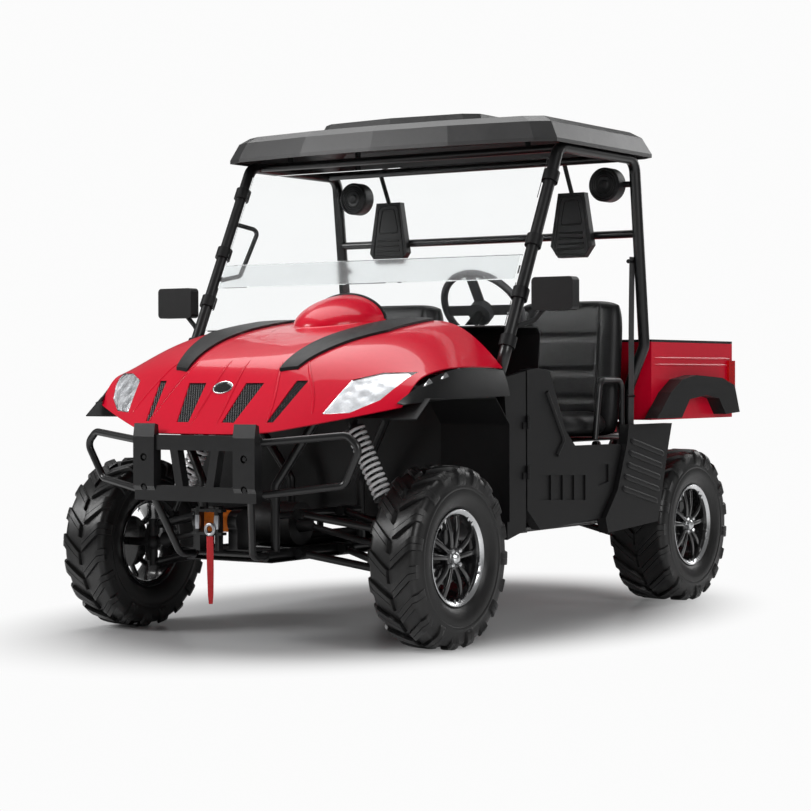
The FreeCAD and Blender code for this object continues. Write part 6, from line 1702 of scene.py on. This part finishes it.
@dataclass
class Studio:
    """Floor, backdrop, lamps and camera."""

    eye: Point = (4.7391, -7.1589, 0.9419)
    azimuth: float = 33.729
    dip: float = 0.778
    roll: float = -0.148
    lens: float = 96.29
    sensor: float = 36.0
    floor_half: float = 40.0
    # zone_middle and zone_reach place an elliptic zone under the vehicle. Inside it the floor's base colour is painted
    # shade, the darker of the two floor colours. Further out the glow fades in.
    zone_middle: tuple[float, float] = (-0.10, -0.05)
    zone_reach: tuple[float, float] = (1.0, 1.5)
    painted_shade_zone: tuple[float, float] = (0.55, 1.2)
    fade_zone: tuple[float, float] = (0.80, 1.40)
    painted_shade_floor: Colour = (0.72, 0.72, 0.73)
    outer_floor: Colour = (0.88, 0.88, 0.88)
    backdrop: float = 0.97
    surroundings: float = 0.14
    mirrored: float = 0.15
    aim: Point = (0.0, 0.0, 0.8)
    lamps: tuple[tuple[str, Point, float, float], ...] = (
        ("overhead", (-0.9, 0.8, 5.2), 4.8, 215.0),
        ("key", (-4.6, -5.2, 4.2), 2.6, 290.0),
        ("fill", (6.0, -3.0, 3.4), 2.8, 150.0),
        ("rear", (1.5, 6.5, 3.6), 3.6, 120.0),
    )

    def build_camera(self) -> None:
        """Builds the camera at the photograph's viewpoint."""
        data = bpy.data.cameras.new("photo_camera")
        data.lens = self.lens
        data.sensor_width = self.sensor
        data.clip_end = 200.0
        camera = bpy.data.objects.new("photo_camera", data)
        bpy.context.scene.collection.objects.link(camera)
        a, e, r = (math.radians(v) for v in (self.azimuth, self.dip, self.roll))
        ahead = Vector((-math.sin(a) * math.cos(e), math.cos(a) * math.cos(e), -math.sin(e)))
        right = ahead.cross(Vector((0, 0, 1))).normalized()
        up = right.cross(ahead)
        right, up = right * math.cos(r) + up * math.sin(r), up * math.cos(r) - right * math.sin(r)
        axes = Matrix((right, up, -ahead)).transposed().to_4x4()
        axes.translation = Vector(self.eye)
        camera.matrix_world = axes
        bpy.context.scene.camera = camera

    def build_floor(self) -> None:
        """Builds a wide pale floor that takes the shadow, with painted shade (a darker grey base colour in a zone
        under the vehicle), and fades to white for the camera.
        """
        rows = np.linspace(-self.floor_half, self.floor_half, 9)
        u, v = np.meshgrid(rows, rows, indexing="ij")
        floor = put_mesh("studio_floor", Shell.from_grid(np.stack([u, v, np.zeros_like(u)], axis=2)))
        made, bench, shader = new_material("studio_floor")
        split = bench.add("SeparateXYZ", Vector=bench.add("TexCoord").outputs["Object"])
        squares = []
        for axis, middle, reach in zip("XY", self.zone_middle, self.zone_reach):
            share = bench.maths("DIVIDE", bench.maths("SUBTRACT", split.outputs[axis], middle), reach)
            squares.append(bench.product(share, share))
        far = bench.maths("SQRT", bench.maths("ADD", *squares))
        # painted shade: the floor's base colour stays darker grey inside the zone and pales outwards
        pale = bench.ramp(far, *self.painted_shade_zone, interpolation_type="SMOOTHSTEP")
        fade = bench.ramp(far, *self.fade_zone, interpolation_type="SMOOTHSTEP")
        bench.tune(shader, Roughness=0.2, Base_Color=bench.mix(pale, self.painted_shade_floor, self.outer_floor))
        glow = bench.add("Emission", Color=(1.0, 1.0, 1.0), Strength=self.backdrop)
        seen, path = bench.seen()
        seen = bench.maths("MAXIMUM", seen, bench.product(path.outputs["Is Glossy Ray"], self.mirrored))
        blend = bench.add("MixShader")
        for place, item in enumerate((bench.product(fade, seen), shader.outputs[0], glow.outputs[0])):
            bench.feed(blend.inputs[place], item)
        bench.feed(made.node_tree.nodes["Material Output"].inputs["Surface"], blend.outputs[0])
        floor.data.materials.append(made)

    def build_lights(self) -> None:
        """Builds the soft lamps and the white surroundings."""
        for name, place, size, power in self.lamps:
            data = bpy.data.lights.new(name, "AREA")
            data.shape = "SQUARE"
            data.size = size
            data.energy = power
            lamp = bpy.data.objects.new(name, data)
            bpy.context.scene.collection.objects.link(lamp)
            lamp.location = place
            lamp.rotation_euler = (Vector(self.aim) - Vector(place)).to_track_quat("-Z", "Y").to_euler()
        world = bpy.data.worlds.new("white_room")
        world.use_nodes = True
        bpy.context.scene.world = world
        bench = Bench(world.node_tree)
        seen, _ = bench.seen()
        strength = bench.maths("ADD", bench.product(seen, self.backdrop - self.surroundings), self.surroundings)
        bench.tune(world.node_tree.nodes["Background"], Strength=strength, Color=(1.0, 1.0, 1.0))

    def build(self) -> None:
        """Builds everything that isn't the vehicle."""
        self.build_camera()
        self.build_floor()
        self.build_lights()
        bpy.context.scene.view_settings.view_transform = "Standard"


def main() -> None:
    """Builds the studio and dresses the vehicle."""
    logging.basicConfig(level=logging.INFO, format="%(message)s")
    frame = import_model()
    Studio().build()
    part = Part(Paints(), frame["nodes"])
    assemblies = (
        CarriedNodes(), Tyres(), Rims(), Shocks(), Seats(), Belts(), WindshieldBand(), NoseBadge(), PodGrilles(),
        HeadrestRibs(), Fasteners(), ScoopLip(), FenderWedges(), WinchStrap(), PanelRibs(), BedPressings(),
        HoodCreases(), NoseMesh(), HoodScoop(), Headlamps(),
    )
    for assembly in assemblies:
        LOG.info("building %s", type(assembly).__name__)
        assembly.build(part)


if __name__ == "__main__":
    main()
